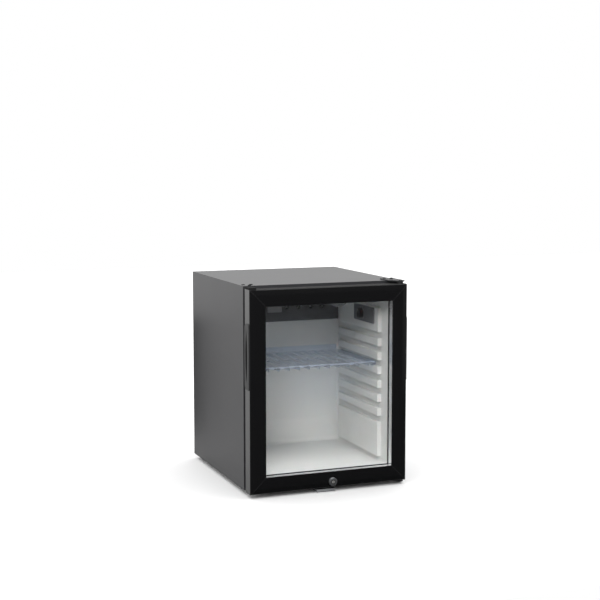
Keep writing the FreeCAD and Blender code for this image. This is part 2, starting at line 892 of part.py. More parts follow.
def shelf():
    """A clear moulded shelf: a round front bar, a slotted plate on ribs, side runners and an upstand."""
    x = shelf_half
    back = shelf_back
    plate = block((-x, x), (shelf_front + shelf_bar / 2, back), (shelf_z, shelf_z + shelf_plate))
    middle = V(-x, shelf_front + shelf_bar / 2, shelf_z + shelf_bar / 2)
    bar = rod(middle, middle.add(V(2 * x, 0, 0)), shelf_bar / 2)
    runner_y = (shelf_front + shelf_runner_start, back - shelf_runner_end)
    runner = block((x, inner_half - shelf_wall_gap), runner_y, (runner_z, shelf_z + shelf_plate))
    wall = block((-x, x), (back - shelf_plate, back), (shelf_z, shelf_z + upstand))
    ribs, slots = [], []
    for i in range(2 * rib_pairs):
        rib_x = (i - rib_pairs + 1 / 2) * rib_pitch
        ribs.append(block(centred(rib_x, rib_thick), (shelf_front + shelf_bar / 2, back),
                          (shelf_z - rib_drop, shelf_z)))
    for i in range(2 * rib_pairs - 1):
        slot_x = (i - rib_pairs + 1) * rib_pitch
        ends = (shelf_front + slot_front, back - slot_rear)
        halfway = (ends[0] + ends[1]) / 2
        for span in ((ends[0], halfway - slot_bridge / 2), (halfway + slot_bridge / 2, ends[1])):
            slots.append(block(centred(slot_x, slot_width), span, (shelf_z, shelf_z + shelf_plate)))
    return fused([plate.cut(slots), bar, runner, mirrored(runner), wall] + ribs)


# Door

def rail_outline():
    """A rail's section as (inward, behind the front): bevelled face, lip over the glass, gasket groove."""
    fall = bevel_fall + edge_round
    dart = gasket_inset + gasket_width / 2
    groove = dart_width / 2 + groove_clear
    room = dart_width / 2 + dart_barb + groove_clear
    deep = dart_depth + 2 * groove_clear
    mouth = door_thickness - rail_wall / 2
    corner = edge_round * (1 - math.sqrt(1 / 2))
    rounded = bevel_fall - bevel_fall * edge_round / bevel_width
    back = door_thickness
    return [(0, fall), (corner, bevel_fall + corner), (edge_round, rounded), (bevel_width, 0),
            (rail_width - lip_round, 0), (rail_width, lip_round), (rail_width, lip_thickness),
            (rebate, lip_thickness), (rebate, back), (dart + groove, back), (dart + groove, mouth),
            (dart + room, mouth), (dart + room, back - deep), (dart - room, back - deep),
            (dart - room, mouth), (dart - groove, mouth), (dart - groove, back), (0, back)]


def rail_hollow_back():
    return door_thickness - dart_depth - 2 * groove_clear - rail_wall


def hollow_outline():
    """The hollow inside a rail, clear of the gasket groove."""
    wall = rail_wall
    back = rail_hollow_back()
    far = rebate - wall
    return [(wall, bevel_fall + wall), (bevel_width, wall), (far, wall), (far, back), (wall, back)]


def bush_space(radius, depth):
    """The round space for a hinge bush down through a corner, on the right, at the top and the bottom."""
    return [rod(V(hinge_x, hinge_y, door_top), V(hinge_x, hinge_y, door_top - depth), radius),
            rod(V(hinge_x, hinge_y, door_bottom), V(hinge_x, hinge_y, door_bottom + depth), radius)]


bush_depth = pin_depth + fit_gap + bush_wall


def both_sides(shapes):
    return shapes + [mirrored(shape) for shape in shapes]


def lens_shape(length, width, outer, inner):
    """The lens of the left-hand finger recess, from one X to another."""
    y = door_front + door_thickness / 2 + grip_back
    z = grip_low + grip_length / 2
    low, high = V(outer, y, z - length / 2), V(outer, y, z + length / 2)
    front = Part.Arc(low, V(outer, y - width / 2, z), high).toShape()
    back = Part.Arc(high, V(outer, y + width / 2, z), low).toShape()
    return Part.Face(Part.Wire([front, back])).extrude(V(inner - outer, 0, 0))


def handle_grip():
    """The left grip: a plate over the depth of the door's side, with a lens-shaped cup for the fingers."""
    y = (door_front + bevel_fall + edge_round, door_front + door_thickness)
    plate = block((-half - grip_proud, -half), y, (grip_low, grip_low + grip_length))
    across = facing_edges(plate, 0)
    plate = plate.makeFillet(grip_front_round, [edge for edge in across if edge.BoundBox.YMax < sum(y) / 2])
    back = [edge for edge in facing_edges(plate, 0) if edge.BoundBox.YMin > y[1] - grip_front_round]
    plate = plate.makeFillet(grip_round, back)
    face = [edge for edge in plate.Edges if edge.BoundBox.XMax < -half - grip_proud / 2]
    plate = plate.makeChamfer(grip_proud / 2, face)
    cup = lens_shape(finger_length + 2 * grip_wall * 2, finger_width + 2 * grip_wall, -half,
                     -half + finger_depth + grip_wall)
    hollow = lens_shape(finger_length, finger_width, -half - grip_proud, -half + finger_depth)
    return fused([plate, cup]).cut(hollow)


def grip_pocket():
    """The hole in the left stile that the grip's cup fills."""
    length = finger_length + 2 * grip_wall * 2 + 2 * fit_gap
    width = finger_width + 2 * grip_wall + 2 * fit_gap
    return lens_shape(length, width, -half, -half + rail_wall * 2)


def lock_hole():
    y = (door_front, door_front + rail_wall + bevel_fall)
    return rod(V(lock_x, y[0], lock_z), V(lock_x, y[1], lock_z), lock_body_radius + lock_clear)


def cam_slot():
    """The slot in the bottom rail that the cam turns down through."""
    near = lock_height - rail_wall
    reach = math.sqrt(cam_sweep ** 2 - near ** 2)
    depth = (cam_front - cam_clear, cam_front + cam_thick + cam_clear)
    return block((lock_x - reach - cam_clear, lock_x + cam_width / 2 + cam_clear), depth,
                 (door_bottom, door_bottom + rail_wall))


def door_rail(side):
    outer = mitred(rail_outline(), side)
    tools = [mitred(hollow_outline(), side)]
    if side in ("top", "bottom"):
        tools += both_sides(bush_space(bush_radius, bush_depth))
    else:
        tools += both_sides([grip_pocket()])
    if side == "bottom":
        tools += [lock_hole(), cam_slot()]
    return outer.cut(tools)


def corner_keys():
    """L-shaped keys that draw the mitres together and carry the hinge bushes."""
    near = rail_wall + key_clear
    far = rebate - rail_wall - key_clear
    y = (door_front + bevel_fall + rail_wall + key_clear, door_front + rail_hollow_back() - key_clear)
    left = -half + near
    keys = []
    for level, way in ((door_top, -1), (door_bottom, 1)):
        across = sorted((level + way * near, level + way * far))
        along = sorted((level + way * near, level + way * key_leg))
        keys.append(fused([block((left, -half + key_leg), y, across), block((left, -half + far), y, along)]))
    holes = both_sides(bush_space(bush_radius, bush_depth))
    return group([key.cut(holes) for key in both_sides(keys)])


def hinge_bushes():
    """Flanged nylon bushes pressed into the hinge corners, blind at their inner ends."""
    bore = pin_radius + pin_clear
    bushes = []
    for level, way, flange in ((door_top, -1, door_drop - fit_gap), (door_bottom, 1, bush_flange)):
        rim = V(hinge_x, hinge_y, level - way * flange)
        seat = V(hinge_x, hinge_y, level)
        end = V(hinge_x, hinge_y, level + way * bush_depth)
        deep = V(hinge_x, hinge_y, level + way * (pin_depth + fit_gap))
        bushes.append(fused([rod(rim, seat, bush_radius + bush_wall), rod(seat, end, bush_radius)]).cut(
            rod(rim, deep, bore)))
    return group(bushes)


def door_corner_cap():
    """The cap on the unused hinge corner, its stem in the bush hole."""
    depth = (door_front + cap_inset, -door_gap)
    cap = rounded_block((-half, -half + cap_width), depth, (door_top, body_height - cap_low), cap_round, 2)
    stem = rod(V(-hinge_x, hinge_y, door_top), V(-hinge_x, hinge_y, door_top - pin_depth), bush_radius)
    return fused([cap, stem])


def glass_pane(depth):
    """A pane that starts a depth behind the door's front."""
    y = door_front + depth
    return block((-half + pane_edge, half - pane_edge), (y, y + pane),
                 (door_bottom + pane_edge, door_top - pane_edge))


def spacer_outline():
    """The hollow metal spacer between the panes."""
    near = rail_width - spacer_set - spacer_width
    far = rail_width - spacer_set
    front = glass_front + pane
    back = front + pane_space
    wall = spacer_wall
    outer = [(near, front), (far, front), (far, back), (near, back)]
    inner = [(near + wall, front + wall), (far - wall, front + wall), (far - wall, back - wall),
             (near + wall, back - wall)]
    return outer, inner


def glazing_spacer():
    outer, inner = spacer_outline()
    return group([bar.cut(hole) for bar, hole in zip(mitred_ring(outer), mitred_ring(inner))])


def glazing_seal():
    """Sealing compound between the panes, outside the spacer."""
    near = rail_width - spacer_set - spacer_width
    front = glass_front + pane
    outline = [(pane_edge, front), (near, front), (near, front + pane_space), (pane_edge, front + pane_space)]
    return group(mitred_ring(outline))


def inner_frame():
    """The sloped bead that holds the glass from behind."""
    far = rail_width + bead_overhang
    outline = [(rebate, glass_back), (far, glass_back), (far, glass_back + rail_wall),
               (far - bead_slope, door_thickness), (rebate, door_thickness)]
    return group(mitred_ring(outline))


def gasket_sections():
    """The gasket's outline, its air chamber and its magnet pocket."""
    near, far = gasket_inset, gasket_inset + gasket_width
    back = door_thickness
    face = back + door_gap - fit_gap
    middle = (near + far) / 2
    dart = dart_width / 2
    pocket = magnet_thick + 2 * gasket_wall
    shoulder = face - pocket
    base = back + gasket_base
    outer = [(near, back), (middle - dart, back), (middle - dart, back - dart_depth + dart_barb),
             (middle - dart - dart_barb, back - dart_depth + dart_barb), (middle, back - dart_depth),
             (middle + dart + dart_barb, back - dart_depth + dart_barb),
             (middle + dart, back - dart_depth + dart_barb), (middle + dart, back), (far, back), (far, base),
             (far - gasket_neck, base + gasket_wall), (far - gasket_neck, shoulder - gasket_wall),
             (far - gasket_wall, shoulder), (far - gasket_wall, face), (near + gasket_wall, face),
             (near + gasket_wall, shoulder), (near + gasket_neck, shoulder - gasket_wall),
             (near + gasket_neck, base + gasket_wall), (near, base)]
    inset = gasket_neck + gasket_wall
    chamber = [(near + inset, base + gasket_wall), (far - inset, base + gasket_wall),
               (far - inset, shoulder - gasket_wall), (near + inset, shoulder - gasket_wall)]
    half_magnet = magnet_width / 2
    magnet = [(middle - half_magnet, shoulder + gasket_wall), (middle + half_magnet, shoulder + gasket_wall),
              (middle + half_magnet, face - gasket_wall), (middle - half_magnet, face - gasket_wall)]
    return outer, chamber, magnet


def door_gasket():
    outer, chamber, magnet = gasket_sections()
    rings = [mitred_ring(outline) for outline in (outer, chamber, magnet)]
    return group([bar.cut([air, strip]) for bar, air, strip in zip(*rings)])


# Lock

def lock_barrel():
    """The barrel's round face is seated on the rail's bevel; its threaded body passes through the rail."""
    face = door_front - lock_proud
    head = rod(V(lock_x, face, lock_z), V(lock_x, door_front + bevel_fall, lock_z), lock_face_radius)
    rim = [edge for edge in head.Edges if edge.BoundBox.YMax < door_front - lock_proud / 2]
    head = head.makeChamfer(lock_chamfer, rim).cut(mitred(rail_outline(), "bottom"))
    body = rod(V(lock_x, door_front, lock_z), V(lock_x, door_front + lock_length, lock_z), lock_body_radius)
    bore = rod(V(lock_x, face, lock_z), V(lock_x, door_front + lock_length, lock_z), plug_radius + plug_clear)
    return fused([head, body]).cut(bore)


def lock_nut():
    front = door_front + rail_wall
    body = rod(V(lock_x, front, lock_z), V(lock_x, front + nut_thick, lock_z), lock_body_radius)
    outline = []
    reach = nut_across / 2 / math.cos(math.pi / hex_sides)
    for i in range(hex_sides):
        angle = 2 * math.pi * i / hex_sides
        outline.append(V(lock_x + reach * math.cos(angle), front, lock_z + reach * math.sin(angle)))
    ring = extrusion(outline, V(0, nut_thick, 0))
    return ring.common(mitred(hollow_outline(), "bottom")).cut(body)


def lock_plug():
    """The plug that the key turns, with its keyway across the face."""
    face = door_front - lock_proud + fit_gap
    plug = rod(V(lock_x, face, lock_z), V(lock_x, cam_front, lock_z), plug_radius)
    rim = [edge for edge in plug.Edges if edge.BoundBox.YMax < door_front]
    plug = plug.makeChamfer(fit_gap, rim)
    keyway = block(centred(lock_x, keyway_width), (face, face + keyway_depth), centred(lock_z, keyway_length))
    return plug.cut(keyway)


def lock_cam():
    """The cam lies level to the left inside the rail when the door is unlocked."""
    y = (cam_front, cam_front + cam_thick)
    arm = block((lock_x - cam_reach, lock_x), y, centred(lock_z, cam_width))
    hub = rod(V(lock_x, y[0], lock_z), V(lock_x, y[1], lock_z), plug_radius)
    return fused([arm, hub])


# Cooling unit

boiler_top = boiler_low + boiler_height
condenser_low = condenser_high - condenser_fall
joint_height = (condenser_low + evaporator_height) / 2
solution_axis = V(boiler_x, unit_line, solution_height)


def unit_point(x, z):
    """A point on the cooling unit's middle plane, in the recess."""
    return V(x, unit_line, z)


def boiler_casing():
    """The tin round the boiler, closed at both ends, with a neck for the riser."""
    shell = rod(unit_point(boiler_x, boiler_low), unit_point(boiler_x, boiler_top), boiler_radius)
    lid = unit_point(boiler_x, boiler_top - boiler_skin)
    inside = rod(unit_point(boiler_x, boiler_low + boiler_skin), lid, boiler_radius - boiler_skin)
    neck = rod(lid, unit_point(boiler_x, boiler_top), riser_radius)
    return shell.cut([inside, neck, solution_run()])


def boiler_tube():
    """The boiler stands on the casing's floor and narrows to the riser."""
    low = boiler_low + boiler_skin
    shoulder = boiler_top - boiler_skin - boiler_neck
    body = rod(unit_point(boiler_x, low), unit_point(boiler_x, shoulder), boiler_tube_radius)
    cone = Part.makeCone(boiler_tube_radius, riser_radius, boiler_neck, unit_point(boiler_x, shoulder))
    neck = rod(unit_point(boiler_x, boiler_top - boiler_skin), unit_point(boiler_x, boiler_top), riser_radius)
    return fused([body, cone, neck])


def heating_element():
    """The cartridge heater stands against the boiler."""
    x = boiler_x + boiler_tube_radius + heater_radius + fit_gap
    low = boiler_low + boiler_skin
    return rod(unit_point(x, low), unit_point(x, low + heater_length), heater_radius)


def condenser_tube():
    """Riser and condenser, one tube that falls a little to the left above the recess."""
    places = [(boiler_x, boiler_top), (boiler_x, condenser_high), (condenser_end, condenser_low),
              (condenser_end, joint_height)]
    return pipe([unit_point(x, z) for x, z in places], riser_radius)


def condenser_fins():
    """Square plates pressed on the condenser."""
    fall = condenser_fall / (boiler_x - condenser_end)
    fins = []
    for i in range(condenser_fin_count):
        x = boiler_x - condenser_fin_start - i * condenser_fin_pitch
        z = condenser_high - fall * (boiler_x - x)
        fins.append(block(centred(x, condenser_fin_thick), centred(unit_line, condenser_fin_side),
                          centred(z, condenser_fin_side)).cut(nodes["condenser_tube"]))
    return group(fins)


def evaporator_tube():
    """The cold tube: down from the condenser, through the wall along the evaporator, and out again."""
    z = evaporator_height
    points = [unit_point(condenser_end, joint_height), unit_point(condenser_end, z)]
    points += [V(condenser_end, foam_line, z), V(exchanger_x, foam_line, z), unit_point(exchanger_x, z)]
    return pipe(points, evaporator_radius).cut(exchanger_run())


def exchanger_run():
    top = evaporator_height + evaporator_radius + exchanger_cap
    return rod(unit_point(exchanger_x, vessel_height), unit_point(exchanger_x, top), exchanger_radius)


def gas_heat_exchanger():
    """The upright double tube between the evaporator and the vessel."""
    return exchanger_run().cut(nodes["absorber_vessel"])


def absorber_coil():
    """The absorber: level runs joined by bends, from the heat exchanger down to the vessel."""
    points = [unit_point(exchanger_x, absorber_top)]
    for i in range(absorber_runs):
        side = absorber_right if i % 2 else absorber_left
        z = absorber_top - i * absorber_pitch
        last = i == absorber_runs - 1
        points += [unit_point(side, z), unit_point(side, vessel_height if last else z - absorber_pitch)]
    return pipe(points, absorber_radius).cut([exchanger_run(), nodes["absorber_vessel"]])


def absorber_vessel():
    tank = rod(unit_point(vessel_left, vessel_height), unit_point(vessel_right, vessel_height), vessel_radius)
    return tank.makeFillet(vessel_dome, [edge for edge in tank.Edges if edge.isClosed()])


def solution_run():
    start = V((vessel_left + vessel_right) / 2, unit_line, solution_height)
    return rod(start, solution_axis, solution_radius)


def solution_tube():
    """The tube from the vessel's end through the casing to the boiler."""
    return solution_run().cut([nodes["absorber_vessel"], nodes["boiler_tube"]])


def unit_brackets():
    """Saddles folded from strip, from the rear panel to the vessel and the boiler's casing."""
    reach = (rear_panel, unit_line)
    web = (rear_panel, rear_panel + bracket_thick)
    saddles = []
    height = centred(vessel_height, 2 * (vessel_radius + bracket_margin))
    middle = (vessel_left + vessel_right) / 2
    for x in (middle - vessel_bracket_reach, middle + vessel_bracket_reach):
        plate = block((x, x + bracket_thick), reach, height)
        foot = block((x, x + bracket_foot), web, height)
        saddles.append(fused([plate, foot]).cut(nodes["absorber_vessel"]))
    width = centred(boiler_x, 2 * (boiler_radius + bracket_margin))
    z = boiler_low + boiler_bracket_height
    around = rod(unit_point(boiler_x, boiler_low), unit_point(boiler_x, boiler_top), boiler_radius)
    plate = block(width, reach, (z, z + bracket_thick))
    saddles.append(fused([plate, block(width, web, (z, z + bracket_foot))]).cut(around))
    return group(saddles)


def control_box():
    """The moulded box on the rear panel that holds the mains terminals and the board."""
    return rounded_block(centred(box_x, 2 * box_half_width), (rear_panel, rear_panel + box_depth),
                         (box_low, box_low + box_height), box_round, 1)


def cord_gland():
    """The cable inlet under the control box: a threaded neck, its hexagon nut and a bore."""
    at = V(box_x, rear_panel + box_depth / 2, box_low)
    down = V(0, 0, -1)
    neck = rod(at, at.add(down * gland_length), gland_radius)
    corners = []
    for i in range(hex_sides):
        angle = 2 * math.pi * i / hex_sides
        corners.append(at.add(V(math.cos(angle), math.sin(angle), 0) * gland_nut_radius))
    nut = extrusion(corners, down * gland_nut)
    bore = rod(at, at.add(down * gland_length), gland_radius - gland_wall)
    return fused([neck, nut]).cut(bore)


def drain_tube():
    """A thin tube that drains the tray through the wall and down to the cup."""
    return pipe(drain_path(), drain_radius).cut(pipe(drain_path(), drain_radius - drain_wall))


def drain_cup():
    """The open cup that sits astride the warm vessel, where the water dries off."""
    y = (drain_line - drain_radius - cup_wall - cup_margin, unit_line + vessel_radius)
    z = (vessel_height + cup_rise, vessel_height + cup_rise + cup_height)
    x = centred(drain_x, cup_width)
    outer = block(x, y, z)
    inner = block((x[0] + cup_wall, x[1] - cup_wall), (y[0] + cup_wall, y[1] - cup_wall),
                  (z[0] + cup_wall, z[1]))
    return outer.cut([inner, nodes["absorber_vessel"]])


# Panels that the rest passes through

def top_holes():
    """Screw holes for a hinge on either side, through the top and the returns under it."""
    return [rod(V(side * x, y, body_height - 2 * sheet), V(side * x, y, body_height), screw_radius)
            for side in (-1, 1) for x, y in hinge_screw_places()]


def bottom_holes():
    """Holes through the bottom and the returns on it for a hinge on either side, the strike and the feet."""
    places = [(side * x, y, screw_radius) for side in (-1, 1) for x, y in hinge_screw_places()]
    places += [(x, y, screw_radius) for x, y in strike_screw_places()]
    places += [(x, y, foot_stud_radius) for x, y in foot_places()]
    return [rod(V(x, y, 0), V(x, y, 2 * sheet), radius) for x, y, radius in places]


def rear_panel_sheet():
    """The panel between the foam and the recess, holed for the tubes."""
    flat = block((-half + sheet, half - sheet), (rear_panel - sheet, rear_panel),
                 (2 * sheet, body_height - 2 * sheet))
    drain = rod(drain_path()[0], V(drain_x, rear_panel, drain_path()[0].z), drain_radius)
    return flat.cut([nodes["evaporator_tube"], drain])


def insulation_foam():
    """The foam that fills the walls between the sheet body and the liner."""
    filled = block((-half + sheet, half - sheet), (sheet, rear_panel - sheet), (sheet, body_height - sheet))
    around = ["side_panel_left", "side_panel_right", "inner_liner", "evaporator_fins", "evaporator_tube",
              "thermostat_body", "fixing_screws", "hinge_hole_plugs", "feet"]
    drain = rod(drain_path()[0], V(drain_x, rear_panel, drain_path()[0].z), drain_radius)
    return filled.cut([liner_outside(), drain, shaft_bore()] + [nodes[name] for name in around])


os.makedirs("parts", exist_ok=True)

save(side_panel(), "side_panel_left")
save(mirrored(nodes["side_panel_left"]), "side_panel_right")
save(cross_panel(body_height - sheet, -1).cut(top_holes()), "top_panel")
save(cross_panel(0, 1).cut(bottom_holes() + vent_slots()), "bottom_panel")
save(feet(), "feet")
save(hinge_plate_top(), "hinge_plate_top")
save(hinge_plate_bottom(), "hinge_plate_bottom")
save(hinge_pins(), "hinge_pins")
save(hinge_hole_plugs(), "hinge_hole_plugs")
save(lock_strike(), "lock_strike")
save(fixing_screws(), "fixing_screws")

save(inner_liner(), "inner_liner")
save(evaporator_cover(), "evaporator_cover")
save(sensor_clip(), "sensor_clip")
save(drip_tray(), "drip_tray")
save(evaporator_fins(), "evaporator_fins")
save(lamp_housing(), "lamp_housing")
save(lamp_lens(), "lamp_lens")
save(led_board(), "led_board")
save(control_housing(), "control_housing")
save(thermostat_body(), "thermostat_body")
save(thermostat_knob(), "thermostat_knob")
save(shelf(), "shelf")

for side in ("top", "bottom"):
    save(door_rail(side), "door_rail_" + side)
for side in ("left", "right"):
    save(door_rail(side), "door_stile_" + side)
save(corner_keys(), "corner_keys")
save(hinge_bushes(), "hinge_bushes")
save(door_corner_cap(), "door_corner_cap")
save(glass_pane(glass_front), "outer_glass")
save(glass_pane(glass_front + pane + pane_space), "inner_glass")
save(glazing_spacer(), "glazing_spacer")
save(glazing_seal(), "glazing_seal")
save(inner_frame(), "inner_frame")
save(door_gasket(), "door_gasket")
save(group(mitred_ring(gasket_sections()[2])), "gasket_magnets")
save(handle_grip(), "handle_grip_left")
save(mirrored(nodes["handle_grip_left"]), "handle_grip_right")
save(lock_barrel(), "lock_barrel")
save(lock_nut(), "lock_nut")
save(lock_plug(), "lock_plug")
save(lock_cam(), "lock_cam")

save(absorber_vessel(), "absorber_vessel")
save(boiler_tube(), "boiler_tube")
save(boiler_casing(), "boiler_casing")
save(heating_element(), "heating_element")
save(condenser_tube(), "condenser_tube")
save(condenser_fins(), "condenser_fins")
save(evaporator_tube(), "evaporator_tube")
save(gas_heat_exchanger(), "gas_heat_exchanger")
save(absorber_coil(), "absorber_coil")
save(solution_tube(), "solution_tube")
save(unit_brackets(), "unit_brackets")
save(control_box(), "control_box")
save(cord_gland(), "cord_gland")
save(drain_tube(), "drain_tube")
save(drain_cup(), "drain_cup")

save(rear_panel_sheet(), "rear_panel")
save(insulation_foam(), "insulation_foam")
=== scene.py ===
# %% [markdown]
# # A glass-door minibar, dressed cell by cell
#
# The solids of the fridge come from CAD and stay where they are. This lesson gives each of them the finish
# of the real material, adds the small pieces that a drawing leaves out, and photographs the result on a
# plain pale floor. Lengths are written in millimetres and turned to metres once, because that is Blender's
# unit.

# %% Load the fixed frame
import json
import math

import bmesh
import bpy
import numpy as np
from mathutils import Matrix, Vector


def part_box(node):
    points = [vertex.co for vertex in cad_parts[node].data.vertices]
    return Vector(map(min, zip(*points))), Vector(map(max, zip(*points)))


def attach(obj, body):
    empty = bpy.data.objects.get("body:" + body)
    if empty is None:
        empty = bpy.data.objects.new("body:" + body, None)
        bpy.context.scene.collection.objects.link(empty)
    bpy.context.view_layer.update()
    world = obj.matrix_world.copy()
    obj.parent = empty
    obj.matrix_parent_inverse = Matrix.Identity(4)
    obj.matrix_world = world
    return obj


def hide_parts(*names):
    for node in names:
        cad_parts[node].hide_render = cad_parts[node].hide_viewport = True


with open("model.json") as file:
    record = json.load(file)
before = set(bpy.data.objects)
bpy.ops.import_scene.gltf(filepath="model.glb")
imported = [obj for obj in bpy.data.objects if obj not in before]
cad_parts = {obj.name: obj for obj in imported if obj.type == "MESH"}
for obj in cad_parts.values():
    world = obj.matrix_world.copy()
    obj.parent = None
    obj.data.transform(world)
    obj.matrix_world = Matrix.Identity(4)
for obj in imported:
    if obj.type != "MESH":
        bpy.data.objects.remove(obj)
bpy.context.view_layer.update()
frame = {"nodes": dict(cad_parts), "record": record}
MM = 0.001

# %% [markdown]
# ## Small tools
#
# Paint charts and colour pickers give sRGB values, but a renderer adds light up in linear values, so one
# function converts them. One more adds a shader node with its settings and its links in a single line,
# which keeps a material's recipe short enough to read, and two start a material and feed its shader.

# %% Colour and node helpers
def linear(hex_colour):
    """sRGB to linear: a dark value is divided by 12.92, a brighter one follows the 2.4 power curve."""
    parts = np.array([int(hex_colour[i:i + 2], 16) / 255 for i in (1, 3, 5)])
    curve = np.where(parts <= 0.04045, parts / 12.92, ((parts + 0.055) / 1.055) ** 2.4)
    return [*curve.tolist(), 1.0]


def add(tree, kind, settings={}, inputs={}):
    """Adds one node. The setting called ramp is the pair of end colours of a colour ramp. An input takes a
    plain value, or another node's output socket to be linked. A Mix node blends its inputs 2 and 3 by the
    share at input 0."""
    node = tree.nodes.new("ShaderNode" + kind)
    for name, value in settings.items():
        if name == "ramp":
            for stop, hex_colour in zip(node.color_ramp.elements, value):
                stop.color = linear(hex_colour)
        else:
            setattr(node, name, value)
    for key, value in inputs.items():
        if isinstance(value, bpy.types.NodeSocket):
            tree.links.new(value, node.inputs[key])
        else:
            node.inputs[key].default_value = value
    return node


def finish(name, colour, roughness, **extra):
    """Starts a material: its Principled shader with plain values, and the piece's coordinates in metres."""
    made = bpy.data.materials.new(name)
    made.use_nodes = True
    tree = made.node_tree
    shader = tree.nodes["Principled BSDF"]
    shader.inputs["Base Color"].default_value = linear(colour)
    shader.inputs["Roughness"].default_value = roughness
    for key, value in extra.items():
        shader.inputs[key.replace("_", " ")].default_value = value
    return made, tree, shader, add(tree, "TexCoord").outputs["Object"]


def feed(shader, **sockets):
    """Links output sockets to the shader's inputs. An underscore stands for the space in an input's name."""
    for key, socket in sockets.items():
        shader.id_data.links.new(socket, shader.inputs[key.replace("_", " ")])


def cells_per_metre(size_mm):
    """A texture's scale from the real size of one of its cells."""
    return 1 / (size_mm * MM)


print("mid grey #808080 is", round(linear("#808080")[0], 3), "in linear light")

# %% [markdown]
# ## Powder-coated steel sheet
#
# The body is folded from steel sheet and coated with dark grey polyester powder, which melts in an oven and
# keeps a faint orange-peel skin. The eye sees a satin surface: nearly black face on, and much lighter where
# it is seen at a slant, because every lacquer mirrors more of the room at a low angle. So the colour is
# dark and the light grey of the side comes from its gloss. A real skin has ripples about 1 mm apart; they
# are drawn 2 mm apart so that a close view still shows them.

# %% Powder coat
powder_coat, tree, shader, at = finish("powder_coated_steel_satin_grey", "#29292b", 0.36, IOR=1.46)
peel = add(tree, "TexNoise", {}, {"Vector": at, "Scale": cells_per_metre(2.0), "Detail": 2.0})
cloud = add(tree, "TexNoise", {}, {"Vector": at, "Scale": cells_per_metre(90.0), "Detail": 1.0})
tint = add(tree, "ValToRGB", {"ramp": ("#262628", "#2e2e30")}, {"Fac": cloud.outputs["Fac"]})
matt = add(tree, "MapRange", {}, {"Value": peel.outputs["Fac"], "To Min": 0.32, "To Max": 0.40})
bump = add(tree, "Bump", {}, {"Height": peel.outputs["Fac"], "Strength": 0.12, "Distance": 0.05 * MM})
feed(shader, Base_Color=tint.outputs["Color"], Roughness=matt.outputs["Result"],
     Normal=bump.outputs["Normal"])
print("powder coat ripple scale", round(cells_per_metre(2.0)), "cells per metre")

# %% [markdown]
# ## Gloss black door frame
#
# The frame is extruded and finished gloss black, then cut to length and mitred. A long extrusion shows two
# things: a mirror-like gloss with very shallow waves along it, and a hairline where the mitres meet. The
# waves are a stretched noise bump. The hairline is a groove in the bump with a paler edge, found from the
# piece's own coordinates: on the frame's diagonal, a point is as far in from the side as it is in from the
# top or the bottom. The paler edge is partly the bare cut edge and partly a painted highlight for the light
# the hairline catches. The top face gathers dust and loses its gloss, so faces that point upwards get a
# rough finish.

# %% Gloss black extrusion with its mitre lines
frame_gloss, tree, shader, at = finish("extruded_frame_gloss_black", "#0b0b0c", 0.14, IOR=1.6)
stile_low, stile_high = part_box("door_stile_left")
half_width = -stile_low.x
half_height = (stile_high.z - stile_low.z) / 2
mid_height = (stile_high.z + stile_low.z) / 2
split = add(tree, "SeparateXYZ", {}, {0: at})
from_middle = add(tree, "Math", {"operation": "ABSOLUTE"}, {0: split.outputs["X"]})
from_side = add(tree, "Math", {"operation": "SUBTRACT"}, {0: half_width, 1: from_middle.outputs[0]})
height = add(tree, "Math", {"operation": "SUBTRACT"}, {0: split.outputs["Z"], 1: mid_height})
from_mid_height = add(tree, "Math", {"operation": "ABSOLUTE"}, {0: height.outputs[0]})
from_end = add(tree, "Math", {"operation": "SUBTRACT"}, {0: half_height, 1: from_mid_height.outputs[0]})
off_mitre = add(tree, "Math", {"operation": "SUBTRACT"}, {0: from_side.outputs[0], 1: from_end.outputs[0]})
distance = add(tree, "Math", {"operation": "ABSOLUTE"}, {0: off_mitre.outputs[0]})
# The real hairline is about 0.1 mm wide. It is drawn 0.7 mm wide, or the picture would lose it.
mitre_line_width = 0.7 * MM
groove = add(tree, "MapRange", {"interpolation_type": "SMOOTHSTEP"},
             {"Value": distance.outputs[0], "From Min": 0.0, "From Max": mitre_line_width,
              "To Min": 0.0, "To Max": 1.0})
stretch = add(tree, "Mapping", {}, {"Vector": at, "Scale": (1.0, 1.0, 0.2)})
wave = add(tree, "TexNoise", {},
           {"Vector": stretch.outputs[0], "Scale": cells_per_metre(30.0), "Detail": 1.0})
smear = add(tree, "TexNoise", {}, {"Vector": at, "Scale": cells_per_metre(60.0), "Detail": 3.0})
gloss = add(tree, "MapRange", {}, {"Value": smear.outputs["Fac"], "To Min": 0.10, "To Max": 0.20})
facing = add(tree, "SeparateXYZ", {}, {0: add(tree, "NewGeometry").outputs["Normal"]})
on_top = add(tree, "MapRange", {}, {"Value": facing.outputs["Z"], "From Min": 0.2, "From Max": 0.6})
satin = add(tree, "Mix", {}, {0: on_top.outputs["Result"], 2: gloss.outputs["Result"], 3: 0.75})
ripple = add(tree, "Bump", {}, {"Height": wave.outputs["Fac"], "Strength": 0.25, "Distance": 0.12 * MM})
seam = add(tree, "Bump", {}, {"Height": groove.outputs["Result"], "Strength": 0.6, "Distance": 0.15 * MM,
                              "Normal": ripple.outputs["Normal"]})
# Paler on the hairline: partly the bare cut edge, partly a painted highlight for the light it catches
bare_edge_and_highlight_tone = add(tree, "ValToRGB", {"ramp": ("#29292a", "#0b0b0c")}, {"Fac": groove.outputs["Result"]})
feed(shader, Base_Color=bare_edge_and_highlight_tone.outputs["Color"], Roughness=satin.outputs[0], Normal=seam.outputs["Normal"])
print("frame:", round(2 * half_width / MM, 1), "by", round(2 * half_height / MM, 1), "mm")

# %% [markdown]
# ## Black moulded plastic
#
# Grips, caps, knob and terminal box are injection-moulded ABS. The mould is spark-eroded, so the plastic
# comes out with a fine even grain that scatters highlights. A bump of small round cells makes such pits. The
# real grain is about 0.3 mm and is drawn at 0.8 mm, since a pixel of the picture covers almost 3 mm. The
# door's corner cap and the plugs beside it have a coarser grain and hardly shine.

